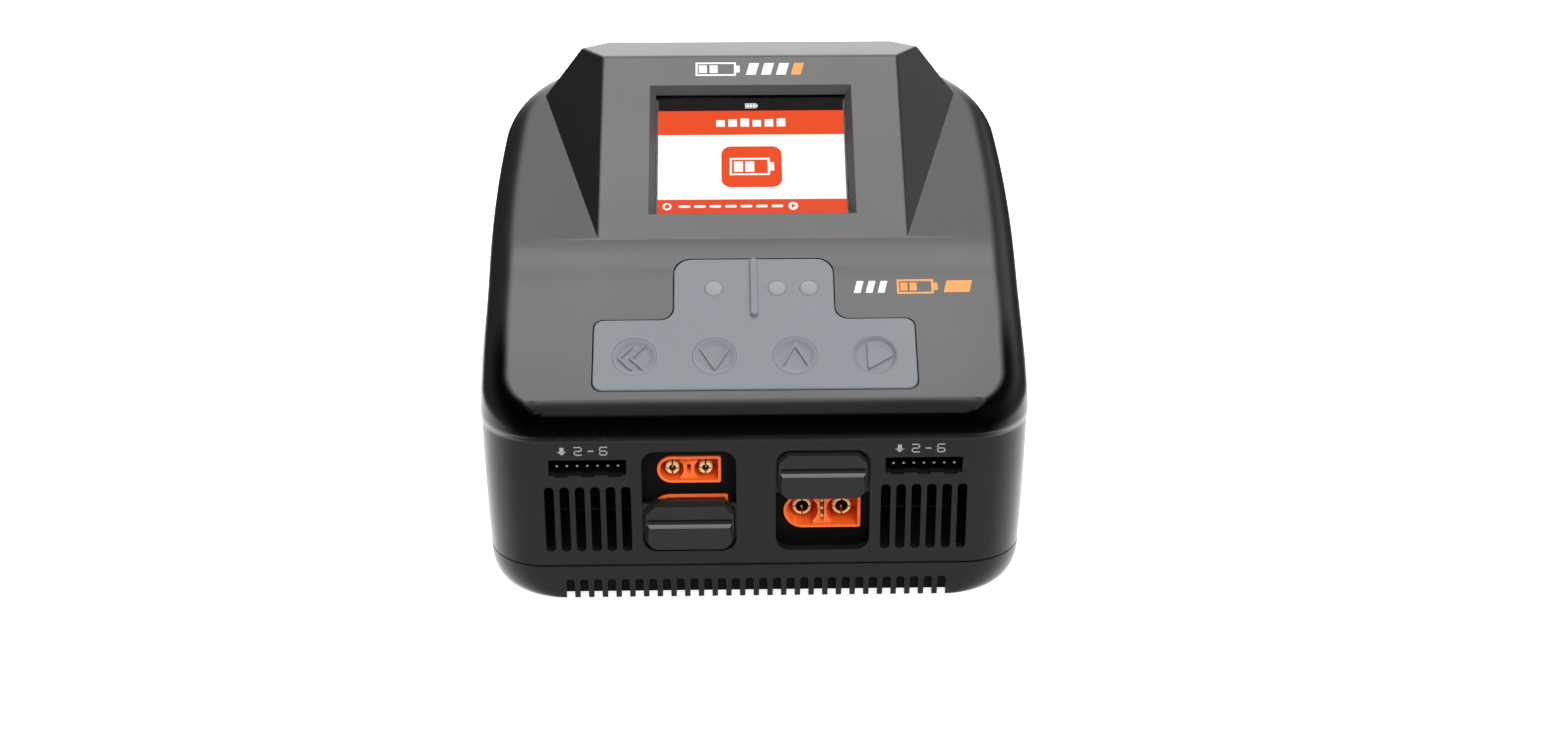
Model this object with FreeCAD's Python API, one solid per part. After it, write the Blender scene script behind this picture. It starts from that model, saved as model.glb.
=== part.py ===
import FreeCAD, Part
import math
import os

# Mains balance charger with two output channels. Millimetres, +Z up, front face towards -Y.
# The origin is at the middle of the footprint, on the surface that the feet stand on.

V = FreeCAD.Vector
X_AXIS = V(1, 0, 0)
Y_AXIS = V(0, 1, 0)
Z_AXIS = V(0, 0, 1)

# ---- driving dimensions of the case ----
WALL = 2.2
FOOT_H = 4.0
RIM_Z = 1.2
SEAM_Z = 10.7
SEAM_GAP = 0.5
FRONT_Y = -58.0
NOSE_Y = -60.5
REAR_Y = 59.0
HALF_W = 70.5
TOP_HALF_W = 65.5
BASE_HALF_W = 66.0
BARREL_INSET = 4.5
FRONT_CORNER_R = 15.0
REAR_CORNER_R = 26.0
LOFT_TOP_Z = 112.0
NOSE_UNDER_Z = 45.5
NOSE_LOW_Z = 48.5
NOSE_TOP_Z = 52.6
CREASE_Y = -16.0
CREASE_Z = 78.9
SHOULDER_Y = 49.0
SHOULDER_Z = 103.8
REAR_TOP_Z = 95.0
TOP_EDGE_R = 6.5
FLOOR_Z = 4.0
FLOOR_T = 2.2
FIT_GAP = 0.15

# ---- console block that carries the display ----
CONSOLE_SLOPE = 31.75
CONSOLE_Y = -10.6
CONSOLE_Z = 81.5
CONSOLE_HALF_W = 39.4
CONSOLE_TOP_Z = 111.6
FACET_FOOT = V(55.0, 40.0, 100.7)
ROOF_REAR = V(38.6, 50.6, CONSOLE_TOP_Z)
CONSOLE_EARS = 7.0
CONSOLE_SINK_W = 57.0
CONSOLE_SINK = 8.0
WINDOW_HALF_W = 26.7
WINDOW_K = (4.9, 47.15)
WINDOW_BEVEL = 1.6
LENS_HALF_W = 27.6
LENS_K = (4.1, 48.0)
LENS_T = 1.0
PANEL_HALF_W = 29.0
PANEL_K = (2.8, 49.0)
PANEL_T = 2.6
DISPLAY_BOARD_T = 1.2

# ---- keypad ----
KEY_SLOPE = 30.5
KEY_Y = -57.0
KEY_Z = 54.7
PAD_HALF_W = 39.75
PAD_K = (4.4, 25.2)
TAB_HALF_W = 20.0
TAB_TOP_K = 43.7
PAD_CORNER_R = 2.5
TAB_CORNER_R = 4.5
NECK_R = 3.5
MAT_PROUD = 0.3
MAT_DEPTH = 3.4
MAT_FLANGE = 1.6
MAT_FLANGE_T = 0.9
KEY_X = (-29.6, -9.9, 9.9, 29.6)
KEY_K = 14.2
KEY_NAMES = ("key_back", "key_down", "key_up", "key_enter")
KEY_R = 5.4
KEY_CLEAR = 0.15
KEY_DISH = 0.35
KEY_FLANGE_R = 6.4
KEY_FLANGE_N = (-4.1, -3.6)
DOT_R = 2.3
DOT_K = 34.55
DOT_ONE_X = (-10.06,)
DOT_TWO_X = (5.8, 13.8)
DOT_WEB = 2.9
DIVIDER_HALF_W = 0.92
DIVIDER_K = (25.9, 43.2)
DIVIDER_RISE = 0.8
SWITCH_TOP_N = -5.0
KEY_BOARD_N = -8.2
KEY_BOARD_T = 1.2
RIBBON_W = 12.0
SWITCH_SIZE = 4.2
SWITCH_BUTTON_R = 1.3

# ---- output ports ----
PORT_X = 16.5
PORT_HALF_W = 11.65
PORT_Z = (14.6, 42.6)
PORT_R = 3.5
SHUTTER_HALF_W = 11.35
SHUTTER_H = 12.4
SHUTTER_LOW_Z = 15.0
SHUTTER_TRAVEL = 14.0
SHUTTER_FACE_Y = FRONT_Y + 0.5
SHUTTER_LEDGE = 1.5
SHUTTER_LEDGE_Z = (6.1, 8.6)
SHUTTER_FLANGE_W = 12.9
SHUTTER_FLANGE_Y = (FRONT_Y + WALL + 0.25, FRONT_Y + WALL + 1.35)
SHUTTER_CORNER_R = 3.2
BAY_FRONT_Y = FRONT_Y + WALL
BAY_GUIDE_T = 1.0
BAY_WALL = 1.4
BAY_BACK_Y = -36.0
CONNECTOR_FACE_Y = FRONT_Y + 4.1
SMALL_W = 16.0
SMALL_H = 7.8
SMALL_Z = 35.4
SMALL_PITCH = 8.2
SMALL_PIN_R = 1.75
SMALL_DEPTH = 13.0
LARGE_W = 19.4
LARGE_H = 10.0
LARGE_Z = 23.5
LARGE_PITCH = 9.9
LARGE_PIN_R = 2.5
LARGE_DEPTH = 16.0
LARGE_MOUTH = 5.0
SHELL_WALL = 1.1
BULLET_GAP = 0.7
SIGNAL_Z = (-2.2, 0.0, 2.2)
SIGNAL_HALF = 0.4

# ---- balance sockets ----
BALANCE_X = 41.3
BALANCE_Z = 38.4
BALANCE_W = 19.0
BALANCE_H = (35.9, 40.5)
BALANCE_PINS = 7
BALANCE_PITCH = 2.5
BALANCE_PIN_HALF = 0.32
BALANCE_BODY_Y = -45.0
BALANCE_FLOOR_Y = -49.5
BALANCE_WALL = 1.0

# ---- ventilation ----
VENT_X = 41.5
VENT_COUNT = 6
VENT_PITCH = 3.79
VENT_HALF_W = 1.2
VENT_Z = (14.8, 33.0)
SIDE_VENT_Y = -42.0
SIDE_VENT_COUNT = 7
SIDE_VENT_PITCH = 5.0
SIDE_VENT_Z = (17.0, 31.0)
COMB_COUNT = 28
COMB_PITCH = 3.45
COMB_HALF_W = 1.02
COMB_TOP_Z = 6.6
COMB_DEPTH = 5.0

# ---- fan, mains inlet and data socket on the rear ----
FAN_X = 16.0
FAN_Z = 44.0
FAN_HALF = 25.0
FAN_T = 15.0
FAN_BORE_R = 23.4
FAN_HUB_R = 9.0
FAN_BLADES = 7
FAN_BLADE_R = 22.6
FAN_AXLE_R = 1.5
FAN_SCREW = 20.0
GRILLE_SLOTS = 9
GRILLE_PITCH = 4.8
GRILLE_HALF_W = 1.5
INLET_X = -25.0
INLET_Z = 36.0
INLET_HALF_W = 13.6
INLET_HALF_H = 9.8
INLET_FLANGE = 1.8
INLET_WALL = 1.6
INLET_DEPTH = 16.0
INLET_CHAMFER = 4.0
INLET_PIN_PITCH = 7.0
USB_X = -25.0
USB_Z = 60.0
USB_HALF_W = 4.2
USB_HALF_H = 1.7

# ---- boards and power parts ----
BOARD_Z = 12.0
BOARD_T = 1.6
BOARD_HALF_W = 50.0
BOARD_Y = (-32.0, 38.0)
PART_Z = BOARD_Z + BOARD_T + 0.05
CORE_SIZE = (34.0, 30.0, 32.0)
CORE_Y = 3.0
HEATSINK_X = (33.0, 48.0)
HEATSINK_Y = (-26.0, 30.0)
HEATSINK_H = 38.0
HEATSINK_FINS = 5
CAN_R = 8.0
CAN_H = 34.0
CAN_X = -25.0
CAN_Y = (-21.0, -3.5, 14.0)
SMALL_CAN_R = 4.0
SMALL_CAN_H = 14.0
TOROID_X = 25.0
TOROID_Y = (-16.0, 8.0)
TOROID_R = 7.6
TOROID_HALF = 3.2
FRONT_BOARD_Y = -34.0

# ---- fasteners and feet ----
SCREW_X = 56.0
SCREW_Y = (-26.0, 24.0)
SCREW_R = 1.5
SCREW_HEAD_R = 2.8
SCREW_HEAD_H = 2.0
SCREW_LEN = 18.0
BOSS_R = 3.6
BOSS_TOP_Z = 26.0
FOOT_R = 6.0
FOOT_X = 46.0
FOOT_Y = 42.0

OUT = "parts"
LARGE = 400.0


# ---- helpers ----
def box(x_range, y_range, z_range):
    size = [pair[1] - pair[0] for pair in (x_range, y_range, z_range)]
    return Part.makeBox(*size, V(x_range[0], y_range[0], z_range[0]))


def cylinder(radius, length, base, axis=Z_AXIS):
    return Part.makeCylinder(radius, length, base, axis)


def face_of(points):
    return Part.Face(Part.makePolygon(points + [points[0]]))


def rounded_box(x_range, y_range, z_range, radius, axis=Z_AXIS):
    """Box whose four edges along the axis are rounded."""
    solid = box(x_range, y_range, z_range)
    edges = [edge for edge in solid.Edges if abs(edge.tangentAt(edge.FirstParameter).dot(axis)) > 0.99]
    return solid.makeFillet(radius, edges)


def mirrored(shape):
    return shape.mirror(V(0, 0, 0), X_AXIS)


def fused(shapes):
    return shapes[0].multiFuse(shapes[1:]).removeSplitter() if len(shapes) > 1 else shapes[0]


def on_slope(shape, slope, y, z):
    """Moves a shape from a flat drawing (X across, Y up the slope, Z outwards) to a sloped face."""
    placed = shape.copy()
    placed.rotate(V(0, 0, 0), X_AXIS, slope)
    placed.translate(V(0, y, z))
    return placed


def on_keypad(shape):
    return on_slope(shape, KEY_SLOPE, KEY_Y, KEY_Z)


def on_console(shape):
    return on_slope(shape, CONSOLE_SLOPE, CONSOLE_Y, CONSOLE_Z)


def half_space(point, normal):
    """Large block that fills the side of a plane away from its normal."""
    block = Part.makeBox(LARGE, LARGE, LARGE, V(-LARGE / 2, -LARGE / 2, -LARGE))
    block.Placement = FreeCAD.Placement(point, FreeCAD.Rotation(Z_AXIS, normal))
    return block


def save(name, *solids):
    shape = solids[0] if len(solids) == 1 else Part.makeCompound(list(solids))
    shape.exportStep(os.path.join(OUT, name + ".step"))


# ---- case shell ----
def plan_wire(half_w, front_y, rear_y, front_r, rear_r, z):
    """Barrel-shaped plan outline: straight front and rear, bowed sides, four round corners."""
    side = half_w - BARREL_INSET
    mid_y = (front_y + rear_y) / 2
    corners = [V(-side, front_y, z), V(side, front_y, z), V(side, rear_y, z), V(-side, rear_y, z)]
    edges = [
        Part.LineSegment(corners[0], corners[1]).toShape(),
        Part.Arc(corners[1], V(half_w, mid_y, z), corners[2]).toShape(),
        Part.LineSegment(corners[2], corners[3]).toShape(),
        Part.Arc(corners[3], V(-half_w, mid_y, z), corners[0]).toShape(),
    ]
    prism = Part.Face(Part.Wire(edges)).extrude(V(0, 0, 1))
    upright = [edge for edge in prism.Edges if abs(edge.tangentAt(edge.FirstParameter).z) > 0.99]
    front = [edge for edge in upright if edge.CenterOfMass.y < mid_y]
    rear = [edge for edge in upright if edge.CenterOfMass.y > mid_y]
    prism = prism.makeFillet(front_r, front)
    rear = [edge for edge in prism.Edges if edge.CenterOfMass.y > rear_y - 1
            and abs(edge.tangentAt(edge.FirstParameter).z) > 0.99]
    prism = prism.makeFillet(rear_r, rear)
    bottom = [face for face in prism.Faces if face.CenterOfMass.z < z + 0.01 and face.normalAt(0, 0).z < -0.9]
    return bottom[0].OuterWire


def plan_loft(low, high):
    return Part.makeLoft([low, high], True, True)


def body_form(inset):
    """Main body above the seam, without the console block, shrunk by the inset on every side."""
    outlines = [
        plan_wire(half_w - inset, NOSE_Y + inset, REAR_Y - inset, FRONT_CORNER_R - inset,
                  REAR_CORNER_R - inset, z)
        for half_w, z in ((HALF_W, SEAM_Z), (TOP_HALF_W, LOFT_TOP_Z))
    ]
    return plan_loft(*outlines).common(side_prism(inset))


def side_prism(inset):
    """The side view of the body, extruded across its width."""
    outline = [
        V(0, FRONT_Y, -LOFT_TOP_Z), V(0, FRONT_Y, NOSE_UNDER_Z), V(0, NOSE_Y, NOSE_LOW_Z),
        V(0, NOSE_Y, NOSE_TOP_Z), V(0, CREASE_Y, CREASE_Z), V(0, SHOULDER_Y, SHOULDER_Z),
        V(0, REAR_Y, REAR_TOP_Z), V(0, REAR_Y, -LOFT_TOP_Z),
    ]
    face = face_of(outline)
    if inset:
        face = face.makeOffset2D(-inset, 2)
    prism = face.extrude(V(2 * HALF_W, 0, 0))
    prism.translate(V(-HALF_W, 0, 0))
    return prism


def console_form(inset):
    """Faceted block that rises out of the shoulders and carries the display."""
    slope = math.radians(CONSOLE_SLOPE)
    front = V(0, -math.sin(slope), math.cos(slope))
    foot = V(CONSOLE_HALF_W, CONSOLE_Y, CONSOLE_Z)
    rise = CONSOLE_TOP_Z - CONSOLE_Z
    top = V(CONSOLE_HALF_W, CONSOLE_Y + rise / math.tan(slope), CONSOLE_TOP_Z)
    facet = (FACET_FOOT - foot).cross(top - foot).normalize()
    ridge_x = ROOF_REAR.x + CONSOLE_EARS
    ridge_point = V(ridge_x, top.y - (ridge_x - top.x) * facet.x / facet.y, CONSOLE_TOP_Z)
    back_facet = (ROOF_REAR - FACET_FOOT).cross(ridge_point - FACET_FOOT).normalize()
    planes = [
        (V(0, CONSOLE_Y, CONSOLE_Z), front),
        (V(0, 0, CONSOLE_TOP_Z), Z_AXIS),
        (foot, facet if facet.x > 0 else facet * -1),
        (FACET_FOOT, back_facet if back_facet.x > 0 else back_facet * -1),
        (ROOF_REAR, V(0, 1, 0.25).normalize()),
    ]
    sink_w = CONSOLE_SINK_W - inset
    solid = box((-sink_w, sink_w), (CONSOLE_Y - 2, REAR_Y), (CONSOLE_Z - 15, LOFT_TOP_Z))
    shoulder = V(0, SHOULDER_Y - CREASE_Y, SHOULDER_Z - CREASE_Z).cross(X_AXIS).normalize()
    solid = solid.common(half_space(V(0, CREASE_Y, CREASE_Z) + shoulder * (CONSOLE_SINK + inset), shoulder))
    for point, normal in planes:
        block = half_space(point - normal * inset, normal)
        solid = solid.common(block)
        if abs(normal.x) > 0.01:
            solid = solid.common(mirrored(block))
    return solid

def top_rounded(solid):
    """Rounds the edge that runs round the sloping top of the body."""
    rims = [edge for edge in solid.Edges
            if edge.CenterOfMass.z > NOSE_LOW_Z + 3 and abs(edge.CenterOfMass.y - CREASE_Y) > 0.5
            and edge.BoundBox.ZMin > NOSE_UNDER_Z + 5]
    return solid.makeFillet(TOP_EDGE_R, rims)


def case_outer():
    body = top_rounded(body_form(0).Solids[0])
    return body.fuse(console_form(0)).removeSplitter()


def case_cavity():
    body = body_form(WALL)
    block = console_form(WALL)
    below = box((-HALF_W, HALF_W), (FRONT_Y + WALL, REAR_Y - WALL), (SEAM_Z - 5, SEAM_Z + 5))
    low = body.common(below)
    low.translate(V(0, 0, -2))
    return fused([body, block, low])


def port_opening(side, y_range):
    x = side * PORT_X
    return rounded_box((x - PORT_HALF_W, x + PORT_HALF_W), y_range, PORT_Z, PORT_R, Y_AXIS)


def vent_slots(side, y_range):
    slots = []
    for index in range(VENT_COUNT):
        x = side * VENT_X + (index - (VENT_COUNT - 1) / 2) * VENT_PITCH
        slots.append(rounded_box((x - VENT_HALF_W, x + VENT_HALF_W), y_range, VENT_Z,
                                 VENT_HALF_W * 0.98, Y_AXIS))
    return slots


def side_vent_slots():
    slots = []
    for index in range(SIDE_VENT_COUNT):
        y = SIDE_VENT_Y + index * SIDE_VENT_PITCH
        slots.append(rounded_box((-HALF_W - 3, HALF_W + 3), (y - VENT_HALF_W, y + VENT_HALF_W),
                                 SIDE_VENT_Z, VENT_HALF_W * 0.98, X_AXIS))
    return slots


def grille_slots():
    reach = FAN_BORE_R - 1
    slots = []
    for index in range(GRILLE_SLOTS):
        offset = (index - (GRILLE_SLOTS - 1) / 2) * GRILLE_PITCH
        half = math.sqrt(reach ** 2 - offset ** 2)
        slots.append(rounded_box((FAN_X - half, FAN_X + half), (REAR_Y - 5, REAR_Y + 5),
                                 (FAN_Z + offset - GRILLE_HALF_W, FAN_Z + offset + GRILLE_HALF_W),
                                 GRILLE_HALF_W * 0.98, Y_AXIS))
    return slots


def fan_screw_points():
    return [(FAN_X + sx * FAN_SCREW, FAN_Z + sz * FAN_SCREW) for sx in (-1, 1) for sz in (-1, 1)]


def inlet_outline(half_w, half_h, y_range):
    """Mains inlet outline: a rectangle with its two upper corners cut off."""
    cut = INLET_CHAMFER
    points = [
        V(-half_w, 0, -half_h), V(half_w, 0, -half_h), V(half_w, 0, half_h - cut),
        V(half_w - cut, 0, half_h), V(-half_w + cut, 0, half_h), V(-half_w, 0, half_h - cut),
    ]
    solid = face_of(points).extrude(V(0, y_range[1] - y_range[0], 0))
    solid.translate(V(INLET_X, y_range[0], INLET_Z))
    return solid


def display_opening():
    """Window in the console with walls that slope in towards the display."""
    outer = [V(-WINDOW_HALF_W, WINDOW_K[0], 0.01), V(WINDOW_HALF_W, WINDOW_K[0], 0.01),
             V(WINDOW_HALF_W, WINDOW_K[1], 0.01), V(-WINDOW_HALF_W, WINDOW_K[1], 0.01)]
    low, high = WINDOW_K[0] + WINDOW_BEVEL, WINDOW_K[1] - WINDOW_BEVEL
    half = WINDOW_HALF_W - WINDOW_BEVEL
    inner = [V(-half, low, -WALL), V(half, low, -WALL), V(half, high, -WALL), V(-half, high, -WALL)]
    wires = [Part.makePolygon(points + [points[0]]) for points in (outer, inner)]
    window = Part.makeLoft(wires, True, True)
    pocket = box((-half, half), (low, high), (-WALL - 3, -WALL + 0.01))
    return on_console(fused([window, pocket]))


def pad_outline(grow, n_range):
    """Keypad plan: a wide lower strip with a narrower tab above it."""
    strip = rounded_box((-PAD_HALF_W - grow, PAD_HALF_W + grow), (PAD_K[0] - grow, PAD_K[1] + grow),
                        n_range, PAD_CORNER_R + grow)
    tab = rounded_box((-TAB_HALF_W - grow, TAB_HALF_W + grow), (PAD_K[0] + 2, TAB_TOP_K + grow),
                      n_range, TAB_CORNER_R + grow)
    pad = strip.fuse(tab).removeSplitter()
    necks = [edge for edge in pad.Edges
             if abs(edge.tangentAt(edge.FirstParameter).z) > 0.99
             and abs(edge.CenterOfMass.y - PAD_K[1] - grow) < 0.01
             and abs(abs(edge.CenterOfMass.x) - TAB_HALF_W - grow) < 0.01]
    return pad.makeFillet(NECK_R - grow, necks)


def case_boss(x, y):
    """Screw post that hangs in the upper case, with a rib to the side wall."""
    side = 1 if x > 0 else -1
    low = SEAM_Z + SEAM_GAP / 2
    post = cylinder(BOSS_R, BOSS_TOP_Z - low, V(x, y, low))
    rib_end = side * (HALF_W - 2.5)
    rib = box((min(x, rib_end), max(x, rib_end)), (y - 0.9, y + 0.9), (low, BOSS_TOP_Z))
    return post.fuse(rib)


def screw_points():
    return [(side * SCREW_X, y) for side in (-1, 1) for y in SCREW_Y]


def build_upper_case():
    shell = case_outer().cut(case_cavity())
    shell = shell.fuse([case_boss(x, y) for x, y in screw_points()])
    front_cut = (NOSE_Y - 1, FRONT_Y + WALL + 1)
    cuts = [port_opening(side, front_cut) for side in (-1, 1)]
    cuts += vent_slots(-1, front_cut) + vent_slots(1, front_cut) + side_vent_slots() + grille_slots()
    cuts += [box((side * BALANCE_X - BALANCE_W / 2, side * BALANCE_X + BALANCE_W / 2), front_cut, BALANCE_H)
             for side in (-1, 1)]
    cuts += [display_opening(), on_keypad(pad_outline(FIT_GAP, (-WALL - 3, 3)))]
    cuts.append(inlet_outline(INLET_HALF_W + FIT_GAP, INLET_HALF_H + FIT_GAP, (REAR_Y - 5, REAR_Y + 5)))
    cuts.append(box((USB_X - USB_HALF_W, USB_X + USB_HALF_W), (REAR_Y - 5, REAR_Y + 5),
                    (USB_Z - USB_HALF_H, USB_Z + USB_HALF_H)))
    cuts += [cylinder(SCREW_R + 0.05, SCREW_LEN + 6, V(x, y, 0)) for x, y in screw_points()]
    cuts += [cylinder(1.6, 10, V(x, REAR_Y - 5, z), Y_AXIS) for x, z in fan_screw_points()]
    cuts.append(box((-HALF_W - 5, HALF_W + 5), (NOSE_Y - 5, REAR_Y + 5), (0, SEAM_Z + SEAM_GAP / 2)))
    return shell.cut(cuts).removeSplitter()


def comb_slots():
    slots = []
    for index in range(COMB_COUNT):
        x = (index - (COMB_COUNT - 1) / 2) * COMB_PITCH
        slots.append(rounded_box((x - COMB_HALF_W, x + COMB_HALF_W), (FRONT_Y - 3, FRONT_Y + COMB_DEPTH),
                                 (RIM_Z - 3, COMB_TOP_Z), COMB_HALF_W * 0.6, Y_AXIS))
    return slots


def tray_form(inset):
    """Lower tray: the barrel outline at the seam, drawn in towards a smaller base."""
    seam = plan_wire(HALF_W - inset, FRONT_Y + inset, REAR_Y - inset, FRONT_CORNER_R - inset,
                     REAR_CORNER_R - inset, SEAM_Z - SEAM_GAP / 2)
    base = plan_wire(BASE_HALF_W - inset, FRONT_Y + inset, REAR_Y - 2 - inset, FRONT_CORNER_R - inset,
                     REAR_CORNER_R - inset, RIM_Z)
    return plan_loft(base, seam)


def build_lower_case():
    tray = tray_form(0)
    floor = box((-HALF_W, HALF_W), (FRONT_Y, REAR_Y), (FLOOR_Z, FLOOR_Z + FLOOR_T))
    tray = tray.cut(tray_form(WALL).cut(floor))
    top = SEAM_Z - SEAM_GAP / 2
    posts = [cylinder(BOSS_R, top - FLOOR_Z - FLOOR_T, V(x, y, FLOOR_Z + FLOOR_T))
             for x, y in screw_points()]
    board_posts = [cylinder(3.0, BOARD_Z - FLOOR_Z - FLOOR_T, V(x, y, FLOOR_Z + FLOOR_T))
                   for x, y in board_screw_points()]
    tray = tray.fuse(posts + board_posts)
    cuts = comb_slots() + [cylinder(SCREW_R + 0.05, top, V(x, y, 0)) for x, y in screw_points()]
    cuts += [cylinder(SCREW_R + 0.05, BOARD_Z, V(x, y, FLOOR_Z + FLOOR_T)) for x, y in board_screw_points()]
    return tray.cut(cuts).removeSplitter()


# ---- display and keypad ----
def build_window():
    return on_console(box((-LENS_HALF_W, LENS_HALF_W), LENS_K, (-WALL - LENS_T, -WALL)))


def build_panel():
    top = -WALL - LENS_T
    return on_console(box((-PANEL_HALF_W, PANEL_HALF_W), PANEL_K, (top - PANEL_T, top)))


def build_display_board():
    top = -WALL - LENS_T - PANEL_T
    return on_console(box((-PANEL_HALF_W - 3, PANEL_HALF_W + 3), PANEL_K, (top - DISPLAY_BOARD_T, top)))


def build_keypad_mat():
    plate = pad_outline(0, (-MAT_DEPTH, MAT_PROUD))
    flange = pad_outline(MAT_FLANGE, (-MAT_DEPTH, -MAT_DEPTH + MAT_FLANGE_T))
    rib = rounded_box((-DIVIDER_HALF_W, DIVIDER_HALF_W), DIVIDER_K, (-1, DIVIDER_RISE), DIVIDER_HALF_W * 0.9)
    holes = [cylinder(KEY_R + KEY_CLEAR, 10, V(x, KEY_K, -5)) for x in KEY_X]
    holes += [cylinder(DOT_R + KEY_CLEAR, 10, V(x, DOT_K, -5)) for x in DOT_ONE_X + DOT_TWO_X]
    return on_keypad(fused([plate, flange, rib]).cut(holes))


def build_key(x):
    disc = cylinder(KEY_R, MAT_PROUD - KEY_FLANGE_N[1], V(x, KEY_K, KEY_FLANGE_N[1]))
    flange = cylinder(KEY_FLANGE_R, KEY_FLANGE_N[1] - KEY_FLANGE_N[0], V(x, KEY_K, KEY_FLANGE_N[0]))
    dish_r = (KEY_R ** 2 + KEY_DISH ** 2) / (2 * KEY_DISH)
    dish = Part.makeSphere(dish_r, V(x, KEY_K, MAT_PROUD - KEY_DISH + dish_r))
    return on_keypad(disc.fuse(flange).cut(dish))


def build_channel_key(xs):
    """Small domed dots on one hidden web, which press one switch."""
    top = MAT_PROUD + 0.2
    dots = [cylinder(DOT_R, top - KEY_FLANGE_N[1], V(x, DOT_K, KEY_FLANGE_N[1])) for x in xs]
    web = box((min(xs) - DOT_WEB, max(xs) + DOT_WEB), (DOT_K - DOT_WEB, DOT_K + DOT_WEB), KEY_FLANGE_N)
    return on_keypad(fused(dots + [web]))


def switch_points():
    middle_two = sum(DOT_TWO_X) / 2
    return [(x, KEY_K) for x in KEY_X] + [(DOT_ONE_X[0], DOT_K), (middle_two, DOT_K)]


def build_switches():
    body_top = SWITCH_TOP_N - 0.7
    half = SWITCH_SIZE / 2
    solids = []
    for x, k in switch_points():
        body = box((x - half, x + half), (k - half, k + half), (KEY_BOARD_N, body_top))
        button = cylinder(SWITCH_BUTTON_R, SWITCH_TOP_N - body_top, V(x, k, body_top))
        solids.append(on_keypad(body.fuse(button)))
    return solids


def build_key_board():
    return on_keypad(box((-36, 36), (4.0, 40.0), (KEY_BOARD_N - KEY_BOARD_T, KEY_BOARD_N)))


def build_ribbon():
    """Flat cable from the keypad board down to the main board."""
    start = on_keypad(Part.Vertex(V(0, 38.0, KEY_BOARD_N - KEY_BOARD_T))).Point
    return box((-RIBBON_W / 2, RIBBON_W / 2), (start.y - 0.2, start.y + 0.2), (PART_Z, start.z - 1.0))


# ---- output ports ----
def build_bay(side):
    """Sleeve behind the front face that holds both connectors and guides the shutter."""
    x = side * PORT_X
    half = SHUTTER_FLANGE_W + 0.3 + BAY_GUIDE_T
    z_low, z_high = PORT_Z[0] - 1.0 - BAY_WALL, PORT_Z[1] + BAY_WALL + 0.2
    outer = box((x - half, x + half), (BAY_FRONT_Y, BAY_BACK_Y), (z_low, z_high))
    channel = box((x - SHUTTER_FLANGE_W - 0.3, x + SHUTTER_FLANGE_W + 0.3),
                  (BAY_FRONT_Y - 1, CONNECTOR_FACE_Y + 0.2), (z_low + BAY_WALL, z_high - BAY_WALL))
    small = connector_shape(x, SMALL_W, SMALL_H, SMALL_Z, (CONNECTOR_FACE_Y - 1, BAY_BACK_Y + 1))
    large = connector_shape(x, LARGE_W, LARGE_H, LARGE_Z, (CONNECTOR_FACE_Y - 1, BAY_BACK_Y + 1))
    return outer.cut([channel, small, large])


def connector_shape(x, width, height, z, y_range):
    """Connector outline: a round left side and a square right side."""
    radius = height / 2
    body = box((x - width / 2 + radius, x + width / 2), y_range, (z - radius, z + radius))
    nose = cylinder(radius, y_range[1] - y_range[0], V(x - width / 2 + radius, y_range[0], z), Y_AXIS)
    return body.fuse(nose).removeSplitter()


def bullet_points(x, z, pitch):
    return [(x + end * pitch / 2, z) for end in (-1, 1)]


def build_small_housing(side):
    x = side * PORT_X
    front = CONNECTOR_FACE_Y
    body = connector_shape(x, SMALL_W - 0.1, SMALL_H - 0.1, SMALL_Z, (front, front + SMALL_DEPTH))
    holes = [cylinder(SMALL_PIN_R + BULLET_GAP, 6, V(px, front - 1, pz), Y_AXIS)
             for px, pz in bullet_points(x, SMALL_Z, SMALL_PITCH)]
    holes += [cylinder(SMALL_PIN_R, SMALL_DEPTH, V(px, front + 1, pz), Y_AXIS)
              for px, pz in bullet_points(x, SMALL_Z, SMALL_PITCH)]
    return body.cut(holes)


def build_large_housing(side):
    x = side * PORT_X
    front = CONNECTOR_FACE_Y
    body = connector_shape(x, LARGE_W - 0.1, LARGE_H - 0.1, LARGE_Z, (front, front + LARGE_DEPTH))
    mouth = connector_shape(x, LARGE_W - 2 * SHELL_WALL, LARGE_H - 2 * SHELL_WALL, LARGE_Z,
                            (front - 1, front + LARGE_MOUTH))
    web = box((x - 1.6, x + 1.6), (front + 0.4, front + LARGE_MOUTH),
              (LARGE_Z - LARGE_H / 2 + 0.5, LARGE_Z + LARGE_H / 2 - 0.5))
    waist = [cylinder(LARGE_PIN_R + BULLET_GAP, LARGE_MOUTH, V(px, front, pz), Y_AXIS)
             for px, pz in bullet_points(x, LARGE_Z, LARGE_PITCH)]
    holes = [cylinder(LARGE_PIN_R, LARGE_DEPTH, V(px, front + 2, pz), Y_AXIS)
             for px, pz in bullet_points(x, LARGE_Z, LARGE_PITCH)]
    pins = [box((x - SIGNAL_HALF, x + SIGNAL_HALF), (front - 1, front + LARGE_DEPTH + 1),
                (LARGE_Z + dz - SIGNAL_HALF, LARGE_Z + dz + SIGNAL_HALF)) for dz in SIGNAL_Z]
    return body.cut(mouth).fuse(web.cut(waist)).cut(holes + pins)


def build_bullets(side, radius, z, pitch, face_gap, length, bore):
    """Split gold sockets, each with a cross cut at its mouth."""
    front = CONNECTOR_FACE_Y + face_gap
    solids = []
    for px, pz in bullet_points(side * PORT_X, z, pitch):
        tube = cylinder(radius, length, V(px, front, pz), Y_AXIS)
        bore_cut = cylinder(bore, 7, V(px, front - 1, pz), Y_AXIS)
        slits = [box((px - radius, px + radius), (front - 1, front + 4), (pz - 0.25, pz + 0.25)),
                 box((px - 0.25, px + 0.25), (front - 1, front + 4), (pz - radius, pz + radius))]
        solids.append(tube.cut([bore_cut] + slits))
    return solids


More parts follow.
